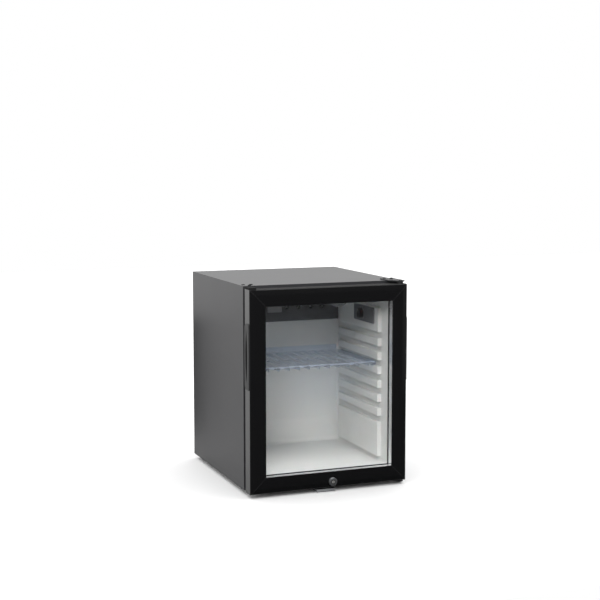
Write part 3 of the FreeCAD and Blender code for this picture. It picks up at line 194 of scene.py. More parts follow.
# %% Black ABS
black_abs, tree, shader, at = finish("moulded_abs_black_grain", "#19191a", 0.46)
grain = add(tree, "TexVoronoi", {"feature": "SMOOTH_F1"}, {"Vector": at, "Scale": cells_per_metre(0.8)})
haze = add(tree, "TexNoise", {}, {"Vector": at, "Scale": cells_per_metre(12.0), "Detail": 2.0})
bump = add(tree, "Bump", {}, {"Height": grain.outputs["Distance"], "Strength": 0.25, "Distance": 0.08 * MM})
matt = add(tree, "MapRange", {}, {"Value": haze.outputs["Fac"], "To Min": 0.40, "To Max": 0.52})
feed(shader, Normal=bump.outputs["Normal"], Roughness=matt.outputs["Result"])

cap_abs, tree, shader, at = finish("moulded_abs_black_matt", "#121213", 0.8, IOR=1.3)
grain = add(tree, "TexVoronoi", {"feature": "SMOOTH_F1"}, {"Vector": at, "Scale": cells_per_metre(1.0)})
bump = add(tree, "Bump", {}, {"Height": grain.outputs["Distance"], "Strength": 0.4, "Distance": 0.1 * MM})
feed(shader, Normal=bump.outputs["Normal"])
print("black plastics:", black_abs.name, "and", cap_abs.name)

# %% [markdown]
# ## Vacuum-formed liner
#
# The inside is one sheet of white polystyrene, softened by heat and sucked over a tool. The sheet thins and
# wavers a little as it stretches, so its gloss shows soft, wide ripples and its colour clouds by a shade.
# The slight subsurface light is what makes a thin white moulding look like plastic and not like painted
# steel.

# %% Polystyrene liner
liner_white, tree, shader, at = finish("vacuum_formed_polystyrene_white", "#d7d8d6", 0.30,
                                       Subsurface_Weight=0.06, Subsurface_Scale=2.0 * MM)
sag = add(tree, "TexNoise", {}, {"Vector": at, "Scale": cells_per_metre(35.0), "Detail": 1.5})
cloud = add(tree, "ValToRGB", {"ramp": ("#d2d3d1", "#dcdddb")}, {"Fac": sag.outputs["Fac"]})
skin = add(tree, "TexNoise", {}, {"Vector": at, "Scale": cells_per_metre(1.5), "Detail": 1.0})
matt = add(tree, "MapRange", {}, {"Value": skin.outputs["Fac"], "To Min": 0.29, "To Max": 0.33})
bump = add(tree, "Bump", {}, {"Height": sag.outputs["Fac"], "Strength": 0.3, "Distance": 0.3 * MM})
feed(shader, Base_Color=cloud.outputs["Color"], Roughness=matt.outputs["Result"],
     Normal=bump.outputs["Normal"])
print("liner ripple scale", round(cells_per_metre(35.0)), "cells per metre")

# %% [markdown]
# ## Grey covers
#
# The cover over the cold fins, the thermostat's housing and the sensor's clip are moulded in three greys,
# all darker than the liner, with a fine matt grain that hides frost marks. The same grain serves them all,
# at a real pitch of 0.5 mm drawn at 1 mm.

# %% Grey moulded covers
def grained_cover(name, dark, pale, grain_mm):
    """Matt moulded plastic: a colour that clouds between two greys, over a pitted grain."""
    made, tree, shader, at = finish(name, dark, 0.5)
    cloud = add(tree, "TexNoise", {}, {"Vector": at, "Scale": cells_per_metre(40.0), "Detail": 2.0})
    tone = add(tree, "ValToRGB", {"ramp": (dark, pale)}, {"Fac": cloud.outputs["Fac"]})
    grain = add(tree, "TexVoronoi", {}, {"Vector": at, "Scale": cells_per_metre(grain_mm)})
    bump = add(tree, "Bump", {},
               {"Height": grain.outputs["Distance"], "Strength": 0.3, "Distance": 0.1 * MM})
    feed(shader, Base_Color=tone.outputs["Color"], Normal=bump.outputs["Normal"])
    return made


cover_grey = grained_cover("moulded_cover_dark_grey", "#424346", "#4a4b4e", 1.0)
housing_grey = grained_cover("moulded_housing_mid_grey", "#66676a", "#6e6f72", 1.0)
clip_grey = grained_cover("moulded_sensor_clip_pale_grey", "#7a7b7c", "#828384", 1.0)
print("three greys:", cover_grey.name, housing_grey.name, clip_grey.name)

# %% [markdown]
# ## Glass and clear plastic
#
# The door has two panes of 4 mm float glass. Clear glass in a renderer stops the lamps' direct light,
# because the light would have to find its way through by bending, so the usual cure is a second,
# see-through shader for the rays that carry lamp light and soft light. The shelf is clear polystyrene,
# tinted faintly blue to look fresh. It is not as clear as glass, so a small share of its light is
# scattered.

# %% Float glass and clear polystyrene
def clear_body(name, colour, roughness, ior, tint, clear_share):
    """A transmitting Principled shader, and a tinted Transparent one for light that reaches through it."""
    made, tree, shader, at = finish(name, colour, roughness, IOR=ior, Transmission_Weight=clear_share)
    path = add(tree, "LightPath")
    pass_on = add(tree, "BsdfTransparent", {}, {"Color": linear(tint)})
    lamps = add(tree, "MixShader", {}, {0: path.outputs["Is Shadow Ray"], 1: shader.outputs[0],
                                        2: pass_on.outputs[0]})
    soft = add(tree, "MixShader", {}, {0: path.outputs["Is Diffuse Ray"], 1: lamps.outputs[0],
                                       2: pass_on.outputs[0]})
    tree.links.new(soft.outputs[0], tree.nodes["Material Output"].inputs["Surface"])
    return made, tree, shader, at


float_glass, tree, shader, at = clear_body("float_glass_clear", "#fefefe", 0.0, 1.52, "#fefefe", 1.0)
roller = add(tree, "TexNoise", {}, {"Vector": at, "Scale": cells_per_metre(160.0), "Detail": 0.0})
bump = add(tree, "Bump", {}, {"Height": roller.outputs["Fac"], "Strength": 0.05, "Distance": 0.05 * MM})
feed(shader, Normal=bump.outputs["Normal"])

# Polystyrene bends light by 1.59. With that, the round front bar would show the dark studio behind the camera
# upside down and look black, so the index is drawn lower.
styrene_drawn_index, styrene_clear_share = 1.25, 0.85
clear_styrene, tree, shader, at = clear_body("moulded_polystyrene_clear_blue", "#e4eaf4", 0.05,
                                             styrene_drawn_index, "#e4eaf2", styrene_clear_share)
flow = add(tree, "TexNoise", {}, {"Vector": at, "Scale": cells_per_metre(9.0), "Detail": 2.0})
bump = add(tree, "Bump", {}, {"Height": flow.outputs["Fac"], "Strength": 0.3, "Distance": 0.2 * MM})
feed(shader, Normal=bump.outputs["Normal"])
print("polystyrene bends light by", styrene_drawn_index, "here and scatters",
      round(1 - styrene_clear_share, 2))

# %% [markdown]
# ## Opal lamp lens and LED board
#
# The lens over the LED board is smoked opal plastic, which hides the points of light. The lamp is off in
# the photograph, so the lens is a dull dark grey. The board behind it has a green lacquer over copper
# tracks, which a brick pattern stands for: bricks are half a cell wide and a quarter high, so a cell of 3 mm
# gives pads of 1.5 mm by 0.75 mm.

# %% Opal lens and circuit board
opal, tree, shader, at = finish("smoked_opal_lamp_lens", "#5a5b5a", 0.25)
frost = add(tree, "TexNoise", {}, {"Vector": at, "Scale": cells_per_metre(1.2), "Detail": 1.0})
bump = add(tree, "Bump", {}, {"Height": frost.outputs["Fac"], "Strength": 0.2, "Distance": 0.05 * MM})
feed(shader, Normal=bump.outputs["Normal"])

circuit, tree, shader, at = finish("circuit_board_green_lacquer", "#0f5a2d", 0.3)
tracks = add(tree, "TexBrick", {}, {"Vector": at, "Scale": cells_per_metre(3.0), "Mortar Size": 0.06,
                                    "Color1": linear("#0f5a2d"), "Color2": linear("#136233"),
                                    "Mortar": linear("#2d7d45")})
feed(shader, Base_Color=tracks.outputs["Color"])
print("lamp finishes:", opal.name, "and", circuit.name)

# %% [markdown]
# ## Zinc plate and galvanised sheet
#
# Bright zinc plate is mottled by its blue passivation. The galvanised sheet round the boiler froze in flat
# crystals, its spangle, 6 to 12 mm across, and a pattern of 9 mm cells gives each crystal a grey of its own.

# %% Zinc plate and spangle
zinc, tree, shader, at = finish("zinc_plated_steel_bright", "#c3c4c2", 0.34, Metallic=1.0)
mottle = add(tree, "TexNoise", {}, {"Vector": at, "Scale": cells_per_metre(5.0), "Detail": 4.0})
tone = add(tree, "ValToRGB", {"ramp": ("#b2b4b6", "#cfcfcb")}, {"Fac": mottle.outputs["Fac"]})
matt = add(tree, "MapRange", {}, {"Value": mottle.outputs["Fac"], "To Min": 0.28, "To Max": 0.42})
feed(shader, Base_Color=tone.outputs["Color"], Roughness=matt.outputs["Result"])

galvanised, tree, shader, at = finish("galvanised_sheet_spangle", "#a6a9ab", 0.4, Metallic=1.0)
spangle = add(tree, "TexVoronoi", {}, {"Vector": at, "Scale": cells_per_metre(9.0)})
tone = add(tree, "ValToRGB", {"ramp": ("#8f9294", "#b9bcbe")}, {"Fac": spangle.outputs["Color"]})
matt = add(tree, "MapRange", {}, {"Value": spangle.outputs["Distance"], "To Min": 0.32, "To Max": 0.5})
feed(shader, Base_Color=tone.outputs["Color"], Roughness=matt.outputs["Result"])
print("spangle scale", round(cells_per_metre(9.0)), "cells per metre")

# %% [markdown]
# ## Chrome and nickel on the lock
#
# The lock has a satin chrome barrel with faint wipe marks. Its nickel-plated plug carries a painted
# highlight:
# a colour by the distance from the plug's axis, bright round the keyway and darker outwards.

# %% Chrome barrel and nickel plug
chrome, tree, shader, at = finish("chrome_plate_satin", "#7c7d80", 0.28, Metallic=0.85)
wipe = add(tree, "TexNoise", {}, {"Vector": at, "Scale": cells_per_metre(4.0), "Detail": 3.0})
matt = add(tree, "MapRange", {}, {"Value": wipe.outputs["Fac"], "To Min": 0.24, "To Max": 0.34})
feed(shader, Roughness=matt.outputs["Result"])

plug_low, plug_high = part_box("lock_plug")
plug_mid = (plug_low + plug_high) / 2
plug_nickel, tree, shader, at = finish("nickel_plated_brass_painted_keyway_glint", "#6a6a69", 0.4, Metallic=0.8)
split = add(tree, "SeparateXYZ", {}, {0: at})
across = add(tree, "Math", {"operation": "SUBTRACT"}, {0: split.outputs["X"], 1: plug_mid.x})
rise = add(tree, "Math", {"operation": "SUBTRACT"}, {0: split.outputs["Z"], 1: plug_mid.z})
offset = add(tree, "CombineXYZ", {}, {"X": across.outputs[0], "Z": rise.outputs[0]})
radius = add(tree, "VectorMath", {"operation": "LENGTH"}, {0: offset.outputs[0]})
# Painted highlight: pale round the keyway, fading to the plug's grey between 2 and 4.5 mm out
keyway_glint_share = add(tree, "MapRange", {},
           {"Value": radius.outputs["Value"], "From Min": 2.0 * MM, "From Max": 4.5 * MM})
tone = add(tree, "ValToRGB", {"ramp": ("#e6e6e2", "#5c5c5c")}, {"Fac": keyway_glint_share.outputs["Result"]})
feed(shader, Base_Color=tone.outputs["Color"])
print("plug axis at x", round(plug_mid.x / MM, 1), "and z", round(plug_mid.z / MM, 1), "mm")

# %% [markdown]
# ## Mottled metals
#
# The hinge hardware is zinc plate passivated black, the lock's catch has a grey zinc-flake coat, and the
# spacer between the panes is mill-finish aluminium. The fins behind the cover are coloured near black, a
# painted shade for the dark behind the cover's holes. All four share one recipe, a mottled colour under a
# mottled gloss, with colours of their own.

# %% Mottled metals from one recipe
def dull_plate(name, dark, pale, metallic, smooth=0.34, rough=0.5):
    """Plated or mill-finish metal, or metal coloured near black as painted shade: a mottled colour under a
    mottled gloss.
    """
    made, tree, shader, at = finish(name, dark, 0.4, Metallic=metallic)
    mottle = add(tree, "TexNoise", {}, {"Vector": at, "Scale": cells_per_metre(4.0), "Detail": 4.0})
    tone = add(tree, "ValToRGB", {"ramp": (dark, pale)}, {"Fac": mottle.outputs["Fac"]})
    matt = add(tree, "MapRange", {}, {"Value": mottle.outputs["Fac"], "To Min": smooth, "To Max": rough})
    feed(shader, Base_Color=tone.outputs["Color"], Roughness=matt.outputs["Result"])
    return made


black_plate = dull_plate("zinc_plated_steel_black_passivated", "#131315", "#1a1a1c", 0.0)
# Near black: painted shade for the fins in the dark behind the cover's holes
fin_painted_shade = dull_plate("aluminium_fins_painted_shade_dark", "#1c1d1e", "#262728", 0.2)
spacer_mill = dull_plate("aluminium_spacer_mill_finish", "#e0e1e3", "#eeeff0", 0.75, 0.12, 0.2)
flake_coat = dull_plate("zinc_flake_coated_steel_grey", "#77787a", "#858688", 0.3)
print("mottled metals:", black_plate.name, fin_painted_shade.name, spacer_mill.name, flake_coat.name)

# %% [markdown]
# ## Soft black seals, stove paint, nylon and foam
#
# The door seal is soft PVC, dull and slightly dusty. The cooling unit is welded steel tube dipped in black
# stove paint, which runs a little and dries with a low gloss. The hinge bushes are black nylon, which wears
# well against steel. The foam in the walls is sealed in, but gets its cells all the same.

# %% Seal, stove paint, nylon, ferrite strip and foam
seal_black, tree, shader, at = finish("soft_pvc_seal_black", "#141415", 0.62)
dust = add(tree, "TexNoise", {}, {"Vector": at, "Scale": cells_per_metre(7.0), "Detail": 4.0})
tone = add(tree, "ValToRGB", {"ramp": ("#111112", "#1c1c1d")}, {"Fac": dust.outputs["Fac"]})
bump = add(tree, "Bump", {}, {"Height": dust.outputs["Fac"], "Strength": 0.15, "Distance": 0.2 * MM})
feed(shader, Base_Color=tone.outputs["Color"], Normal=bump.outputs["Normal"])

stove_paint, tree, shader, at = finish("black_stove_paint", "#161616", 0.33)
runs = add(tree, "Mapping", {}, {"Vector": at, "Scale": (1.0, 1.0, 0.35)})
sag = add(tree, "TexNoise", {}, {"Vector": runs.outputs[0], "Scale": cells_per_metre(6.0), "Detail": 2.0})
matt = add(tree, "MapRange", {}, {"Value": sag.outputs["Fac"], "To Min": 0.26, "To Max": 0.46})
bump = add(tree, "Bump", {}, {"Height": sag.outputs["Fac"], "Strength": 0.35, "Distance": 0.25 * MM})
feed(shader, Roughness=matt.outputs["Result"], Normal=bump.outputs["Normal"])

bush_nylon = grained_cover("moulded_nylon_black", "#1b1b1c", "#232324", 0.6)
ferrite = grained_cover("ferrite_filled_magnet_strip", "#2a2523", "#332d2a", 0.5)
wall_foam = grained_cover("rigid_polyurethane_foam", "#d9c48a", "#e6d4a2", 0.9)
print("materials so far:", len(bpy.data.materials))

# %% [markdown]
# ## Which finish each solid takes
#
# Every CAD solid names a material slot in its record. The slot picks the finish, and the solids that share
# a slot but differ on the real fridge get their own by name, such as the thermostat's housing, the
# galvanised boiler tin, the black hinge plates and the magnet strip.

# %% Hand out the finishes
by_slot = {
    "case_paint": powder_coat, "zinc_steel": zinc, "black_abs": black_abs, "door_frame": frame_gloss,
    "liner_plastic": liner_white, "cover_plastic": cover_grey, "clear_plastic": clear_styrene,
    "lamp_diffuser": opal, "circuit_board": circuit, "float_glass": float_glass, "spacer_metal": spacer_mill,
    "seal_rubber": seal_black, "lock_chrome": chrome, "unit_paint": stove_paint, "wall_foam": wall_foam,
}
by_node = {
    "control_housing": housing_grey, "sensor_clip": clip_grey, "boiler_casing": galvanised,
    "thermostat_body": galvanised, "hinge_bushes": bush_nylon, "gasket_magnets": ferrite,
    "hinge_plate_top": black_plate, "hinge_plate_bottom": black_plate, "hinge_pins": black_plate,
    "fixing_screws": black_plate, "lock_strike": flake_coat, "lock_plug": plug_nickel,
    "evaporator_fins": fin_painted_shade, "door_corner_cap": cap_abs, "hinge_hole_plugs": cap_abs,
    "drip_tray": cover_grey,
}
slot_of = {part["node"]: part["material_slot"] for part in frame["record"]["subparts"]}
for name, solid in frame["nodes"].items():
    chosen = by_node.get(name, by_slot[slot_of[name]])
    if not solid.material_slots:
        solid.data.materials.append(chosen)
    for place in solid.material_slots:
        place.material = chosen
print("dressed", len(frame["nodes"]), "solids in", len(set(slot_of.values())), "slots")

# %% [markdown]
# ## Surfaces from two parameters
#
# Each new piece below is a sheet of points: a function of two parameters worked out for the whole grid at
# once. The helper joins neighbouring points into quads, merges the points that fall together at seams and
# poles, and turns the faces outwards.

# %% Grid surface helper
def quads_of(rows, columns, wrap_rows):
    """Point (i, j) is joined to (i+1, j), (i+1, j+1) and (i, j+1). Each row closes on itself, and with
    wrap_rows the last row is joined to the first."""
    i, j = np.meshgrid(np.arange(rows - (not wrap_rows)), np.arange(columns), indexing="ij")
    down, right = (i + 1) % rows, (j + 1) % columns
    corners = [i * columns + j, down * columns + j, down * columns + right, i * columns + right]
    return np.stack(corners, axis=-1).reshape(-1, 4)


same_point, sliver = 0.002 * MM, 0.0005 * MM


def piece(name, grids, body, material, wrap_rows=False, sharp_degrees=35.0):
    """One object from several like grids of points in metres, riding on a body and dressed."""
    points = np.concatenate([grid.reshape(-1, 3) for grid in grids])
    rows, columns = grids[0].shape[:2]
    quads = quads_of(rows, columns, wrap_rows)
    faces = np.concatenate([quads + n * rows * columns for n in range(len(grids))])
    mesh = bpy.data.meshes.new(name)
    mesh.from_pydata(points.tolist(), [], faces.tolist())
    work = bmesh.new()
    work.from_mesh(mesh)
    bmesh.ops.remove_doubles(work, verts=work.verts, dist=same_point)
    bmesh.ops.dissolve_degenerate(work, edges=work.edges, dist=sliver)
    bmesh.ops.recalc_face_normals(work, faces=work.faces)
    work.to_mesh(mesh)
    work.free()
    mesh.shade_smooth()
    mesh.set_sharp_from_angle(angle=math.radians(sharp_degrees))
    mesh.materials.append(material)
    made = bpy.data.objects.new(name, mesh)
    bpy.context.scene.collection.objects.link(made)
    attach(made, body)
    print(name, "has", len(mesh.polygons), "faces")
    return made


print("two rows of four points that close on themselves give", len(quads_of(2, 4, False)), "quads")

# %% [markdown]
# ## Finding the solids of a node
#
# The screws share one node, and so do the feet, but a new piece has to know where each of them stands. A
# CAD mesh is loose triangles, so equal points are found first, and then the triangles that hang together.

# %% Boxes of the solids in a node
def solids_in(node):
    """The (low, high) corners of each separate solid in a CAD node. Equal points get one number, and each
    triangle hands the lowest number of its corners to all three until nothing changes."""
    mesh = frame["nodes"][node].data
    step = 0.01 * MM
    points = np.zeros(len(mesh.vertices) * 3)
    mesh.vertices.foreach_get("co", points)
    corners = np.zeros(len(mesh.loops), int)
    mesh.loops.foreach_get("vertex_index", corners)
    points = points.reshape(-1, 3)
    merged, number = np.unique(np.round(points / step), axis=0, return_inverse=True)
    triangles = number.reshape(-1)[corners].reshape(-1, 3)
    label = np.arange(len(merged))
    while True:
        before = label.copy()
        np.minimum.at(label, triangles, label[triangles].min(axis=1, keepdims=True))
        if (label == before).all():
            break
    merged = merged * step
    return [(merged[label == k].min(axis=0), merged[label == k].max(axis=0)) for k in np.unique(label)]


print("fixing_screws holds", len(solids_in("fixing_screws")), "solids")

# %% [markdown]
# ## Screws
#
# The hinge plates and the lock's catch are held by pan-head screws with a cross recess. In CAD they are
# plain discs on rods. Here one surface runs from the middle of the head over its dome, round the rim, in
# under it and down the threaded shank. The recess is a dip wherever a point lies in one of two crossed
# bars.

# %% Pan-head screws with a cross recess and a thread
def soft_step(value, edge, width):
    """1 well below the edge and 0 well above it, with a straight ramp of the given width between."""
    return np.clip((edge - value) / width + 0.5, 0.0, 1.0)


def screw_surface(head_radius, head_height, shank_radius, shank_length, turns=64):
    """Radius and height follow the profile; the dome is a flattened circle, the thread a triangle wave in
    angle plus height, and the cross recess lowers the dome where |x| or |y| is small near the middle."""
    dome_steps, shank_steps = 18, 43
    rim_share, dome_curve, recess_share, thread_share = 0.35, 0.96, 0.5, 0.16
    angle = np.linspace(0, 2 * math.pi, turns, endpoint=False)
    out = np.linspace(0, 1, dome_steps)
    dome_height = head_height * (rim_share + (1 - rim_share) * np.sqrt(1 - dome_curve * out ** 4))
    down = np.linspace(0, 1, shank_steps + 1)[1:]
    radius = np.concatenate([head_radius * out, [head_radius], np.full(shank_steps + 1, shank_radius)])
    height = np.concatenate([dome_height, [0.0, 0.0], -shank_length * down])
    r, a = np.meshgrid(radius, angle, indexing="ij")
    z = np.repeat(height[:, None], turns, axis=1)
    x, y = r * np.cos(a), r * np.sin(a)
    row = np.arange(len(radius))[:, None]
    arm, arm_edge, reach, reach_edge = (share * head_radius for share in (0.16, 0.1, 0.58, 0.12))
    across = np.minimum(np.abs(x), np.abs(y))
    along = np.maximum(np.abs(x), np.abs(y))
    dip = soft_step(across, arm, arm_edge) * soft_step(along, reach, reach_edge)
    z = z - (row < dome_steps) * dip * recess_share * head_height
    pitch = 1.1 * MM
    wave = np.abs(((z / pitch + a / (2 * math.pi)) % 1.0) * 2 - 1) - 0.5
    grow = 1 + (row > dome_steps + 1) * wave * thread_share
    open_end = row < len(radius) - 1
    return np.stack([x * grow * open_end, y * grow * open_end, z], axis=-1)


head_height, thread_radius = 1.6 * MM, 1.85 * MM
screw_grids = []
for low, high in solids_in("fixing_screws"):
    middle = (high + low) / 2
    grid = screw_surface((high[0] - low[0]) / 2, head_height, thread_radius, high[2] - low[2] - head_height)
    if low[2] > mid_height:
        under_head = high[2] - head_height
    else:
        grid = grid * np.array([1, -1, -1])
        under_head = low[2] + head_height
    screw_grids.append(grid + np.array([middle[0], middle[1], under_head]))
screws = piece("pan_head_screws", screw_grids, "cabinet", black_plate)
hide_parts("fixing_screws")

# %% [markdown]
# ## Door seal
#
# The seal is a hollow PVC bellows with a magnet strip in its front lip. It is extruded, cut to four lengths
# and welded at the corners, so the same section runs round the door and turns at sharp mitres. The section
# is a closed curve rounded through a few points, and the four corners of the door carry it round.

# %% Bellows seal round the door
def rounded_curve(points, steps=6):
    """A closed curve through the points: each stretch is a cubic of its four nearest points, and the slope
    at a point is half the way from the point before it to the point after it."""
    p = np.asarray(points, float)
    t = np.linspace(0, 1, steps, endpoint=False)[None, :, None]
    a, b, c, d = (np.roll(p, shift, axis=0)[:, None, :] for shift in (1, 0, -1, -2))
    curve = 0.5 * (2 * b + (c - a) * t + (2 * a - 5 * b + 4 * c - d) * t ** 2
                   + (3 * b - a - 3 * c + d) * t ** 3)
    return curve.reshape(-1, 2)


seal_low, seal_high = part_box("door_gasket")
seal_depth = seal_high.y - stile_high.y
# Inward from the seal's outer edge and back from the door, in millimetres
section = rounded_curve(np.array([
    (0.3, 0.0), (7.1, 0.0), (13.9, 0.0), (14.1, 0.8), (13.2, 1.6), (11.8, 2.6), (12.4, 4.2), (11.6, 5.8),
    (12.5, 7.2), (13.0, 8.6), (13.0, 12.2), (12.4, 12.7), (7.1, 12.7), (1.8, 12.7), (1.2, 12.2), (1.2, 8.6),
    (1.7, 7.2), (2.6, 5.8), (1.8, 4.2), (2.4, 2.6), (1.0, 1.6), (0.1, 0.8)])) * MM
inward, back = section[:, 0], np.clip(section[:, 1], 0.0, seal_depth)
left, right = seal_low.x + inward, seal_high.x - inward
top, bottom = seal_high.z - inward, seal_low.z + inward
level = stile_high.y + back
seal_grid = np.stack([np.stack([x, level, z], axis=-1) for x, z in
                      ((left, top), (right, top), (right, bottom), (left, bottom))])
seal = piece("bellows_seal", [seal_grid], "door", seal_black, wrap_rows=True,
             sharp_degrees=50.0)
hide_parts("door_gasket")

# %% [markdown]
# ## Feet
#
# The feet are pushed into the bottom sheet. Each is a squat cone with a rounded foot, three shallow rings
# and a hollow underneath, all of which a turned profile gives at once: a radius and a height for each step,
# spun round the foot's own axis.

# %% Turned feet
def spun(profile, centre, turns=48):
    """Each (radius, height) of the profile is carried round the axis: x = r cos a, y = r sin a."""
    r, z = np.asarray(profile, float).T * MM
    angle = np.linspace(0, 2 * math.pi, turns, endpoint=False)
    x, y = np.outer(r, np.cos(angle)), np.outer(r, np.sin(angle))
    height = np.repeat(z[:, None], turns, axis=1)
    return np.stack([x, y, height], axis=-1) + np.asarray(centre)


# Radius and height above the ground, in millimetres
foot_profile = [(0, 1.2), (8.5, 1.2), (9.2, 0.2), (9.8, 0.0), (11.6, 0.0), (12.3, 0.3), (12.6, 1.0),
                (12.8, 2.8), (12.4, 3.1), (12.4, 3.6), (12.9, 3.9), (13.1, 5.4), (12.7, 5.7), (12.7, 6.2),
                (13.2, 6.5), (13.5, 8.0), (13.1, 8.3), (13.1, 8.8), (13.6, 9.1), (13.9, 11.4), (13.6, 11.9),
                (0, 11.9)]
foot_grids = [spun(foot_profile, ((low[0] + high[0]) / 2, (low[1] + high[1]) / 2, low[2]))
              for low, high in solids_in("feet")]
feet = piece("turned_feet", foot_grids, "cabinet", black_abs)
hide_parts("feet")

# %% [markdown]
# ## Weld beads on the cooling unit
#
# The absorption unit is tube welded to tube, and each joint has a rippled bead. A bead is a small circle
# carried along the joint's curve. Where an upright tube of radius r stands on a lying drum of radius R,
# that curve is a saddle: its height over the drum's axis is the square root of R squared less y squared.

# %% Weld beads
def bead(path, thickness, ripples, ripple_share=0.18, around=10):
    """A circle carried along a closed curve; its size swells and shrinks a few dozen times on the way."""
    along = np.roll(path, -1, axis=0) - np.roll(path, 1, axis=0)
    along /= np.linalg.norm(along, axis=1, keepdims=True)
    out = path - path.mean(axis=0)
    out -= along * (out * along).sum(axis=1, keepdims=True)
    out /= np.linalg.norm(out, axis=1, keepdims=True)
    side = np.cross(along, out)
    turn = np.linspace(0, 2 * math.pi, around, endpoint=False)[None, :, None]
    phase = np.linspace(0, 2 * math.pi, len(path), endpoint=False)[:, None, None]
    swell = 1 + ripple_share * np.cos(ripples * phase)
    ring = out[:, None, :] * np.cos(turn) + side[:, None, :] * np.sin(turn)
    return path[:, None, :] + ring * thickness * swell


def circle(centre, radius, axis, drum=0.0, steps=96):
    """A circle about an axis (0 for X, 2 for Z). On a drum that lies along X it becomes the saddle curve."""
    angle = np.linspace(0, 2 * math.pi, steps, endpoint=False)
    across, along = radius * np.cos(angle), radius * np.sin(angle)
    if axis == 0:
        offset = np.stack([np.zeros(steps), across, along], axis=-1)
    else:
        rise = np.sqrt(drum ** 2 - along ** 2) if drum else np.zeros(steps)
        offset = np.stack([across, along, rise], axis=-1)
    return np.asarray(centre) + offset


def box_of(node):
    """The low corner, the high corner and the middle of a node's box, as arrays."""
    low, high = (np.array(corner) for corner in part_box(node))
    return low, high, (low + high) / 2


vessel_low, vessel_high, vessel_mid = box_of("absorber_vessel")
exchanger_mid = box_of("gas_heat_exchanger")[2]
casing_high, casing_mid = box_of("boiler_casing")[1:]
cold_low, cold_high = box_of("evaporator_tube")[:2]
drum_radius = (vessel_high[2] - vessel_low[2]) / 2
tube_radius, tube_joint, exchanger_joint, seam_inset = 6 * MM, 7 * MM, 11 * MM, 9 * MM
bead_thickness, bead_ripples = 1.1 * MM, 40
bead_paths = [
    circle((exchanger_mid[0], vessel_mid[1], vessel_mid[2]), exchanger_joint, 2, drum=drum_radius),
    circle((casing_mid[0], casing_mid[1], casing_high[2]), tube_joint, 2),
    circle((cold_low[0] + tube_radius, exchanger_mid[1], cold_high[2]), tube_joint, 2),
    circle((vessel_low[0] + seam_inset, vessel_mid[1], vessel_mid[2]), drum_radius, 0),
    circle((vessel_high[0] - seam_inset, vessel_mid[1], vessel_mid[2]), drum_radius, 0),
]
piece("weld_beads", [bead(path, bead_thickness, bead_ripples) for path in bead_paths], "cabinet",
      stove_paint, wrap_rows=True)

# %% [markdown]
# ## Apron under the fin cover
#
# The grey cover over the cold fins reaches lower at its front than the tray behind it, so that nobody sees
# the drain and the cold air falls close to the wall. The apron is a strip that hangs from the cover's edge,
# and its foot is turned in to make it stiff. Such a strip is one section carried straight across the
# fridge.

# %% Apron with a turned-in foot
def strip_across(section, low_x, high_x):
    """A closed (y, z) section, in metres, carried along X and closed at both ends on its own middle."""
    middle = np.repeat(section.mean(axis=0)[None], len(section), axis=0)
    rows = [(low_x, middle), (low_x, section), (high_x, section), (high_x, middle)]
    return np.stack([np.column_stack([np.full(len(flat), x), flat]) for x, flat in rows])


cover_low, cover_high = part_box("evaporator_cover")
# Back from the cover's face and up from its lower edge, in millimetres
apron_section = np.array([(0.0, 1.9), (0.0, -21.5), (0.5, -22.7), (1.6, -23.2), (10.0, -23.2),
                          (10.0, -21.7), (2.4, -21.7), (1.9, -21.0), (1.9, 1.9)]) * MM
apron_grid = strip_across(apron_section + [cover_low.y, cover_low.z], cover_low.x, cover_high.x)
piece("cover_apron", [apron_grid], "cabinet", cover_grey)

# %% [markdown]
# ## Marks round the thermostat knob
#
# The knob needs a scale. The real one is a ring of printed strokes that grow from cold to coldest, and one
# stroke on the knob. Each stroke is a low bar, 0.15 mm proud like a thick print, set out by its angle.

# %% Dial strokes
def strokes(centre, angles, inner, outer, width, proud, face_x):
    """Bars that point away from a centre in the YZ plane: corners at inner and outer radius, half a width
    to each side, on the face and proud of it towards -X. A bar is a ring of four corners, capped to a
    point."""
    radial = np.stack([np.cos(angles), np.sin(angles)], axis=-1)
    sideways = np.stack([-np.sin(angles), np.cos(angles)], axis=-1)
    grids = []
    for way, side, far in zip(radial, sideways, np.broadcast_to(outer, len(angles))):
        ring = np.array([way * inner - side * width / 2, way * far - side * width / 2,
                         way * far + side * width / 2, way * inner + side * width / 2])
        middle = np.repeat(ring.mean(axis=0)[None], 4, axis=0)
        levels = []
        for flat, x in ((middle, face_x), (ring, face_x), (ring, face_x - proud), (middle, face_x - proud)):
            levels.append(np.column_stack([np.full(4, x), centre[0] + flat[:, 0], centre[1] + flat[:, 1]]))
        grids.append(np.stack(levels))
    return grids


print_white, tree, shader, at = finish("printed_marks_pale_grey", "#c9c9c7", 0.5)
ink = add(tree, "TexNoise", {}, {"Vector": at, "Scale": cells_per_metre(0.5), "Detail": 2.0})
matt = add(tree, "MapRange", {}, {"Value": ink.outputs["Fac"], "To Min": 0.42, "To Max": 0.6})
feed(shader, Roughness=matt.outputs["Result"])
knob_low, knob_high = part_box("thermostat_knob")
knob_mid = (knob_low + knob_high) / 2
plate_thickness, print_height = 0.8 * MM, 0.15 * MM
plate_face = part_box("control_housing")[0].x + plate_thickness
stroke_count = 8
dial_angles = np.radians(np.linspace(-135, 135, stroke_count) + 90)
dial_outer = np.linspace(16.0, 18.6, stroke_count) * MM
dial_grids = strokes((knob_mid.y, knob_mid.z), dial_angles, inner=14.6 * MM, outer=dial_outer,
                     width=1.0 * MM, proud=print_height, face_x=plate_face)
piece("dial_strokes", dial_grids, "cabinet", print_white)
knob_grids = strokes((knob_mid.y, knob_mid.z), np.radians([90.0]), inner=4 * MM, outer=10.5 * MM,
                     width=1.2 * MM, proud=print_height, face_x=knob_low.x)
piece("knob_stroke", knob_grids, "thermostat_knob", print_white)
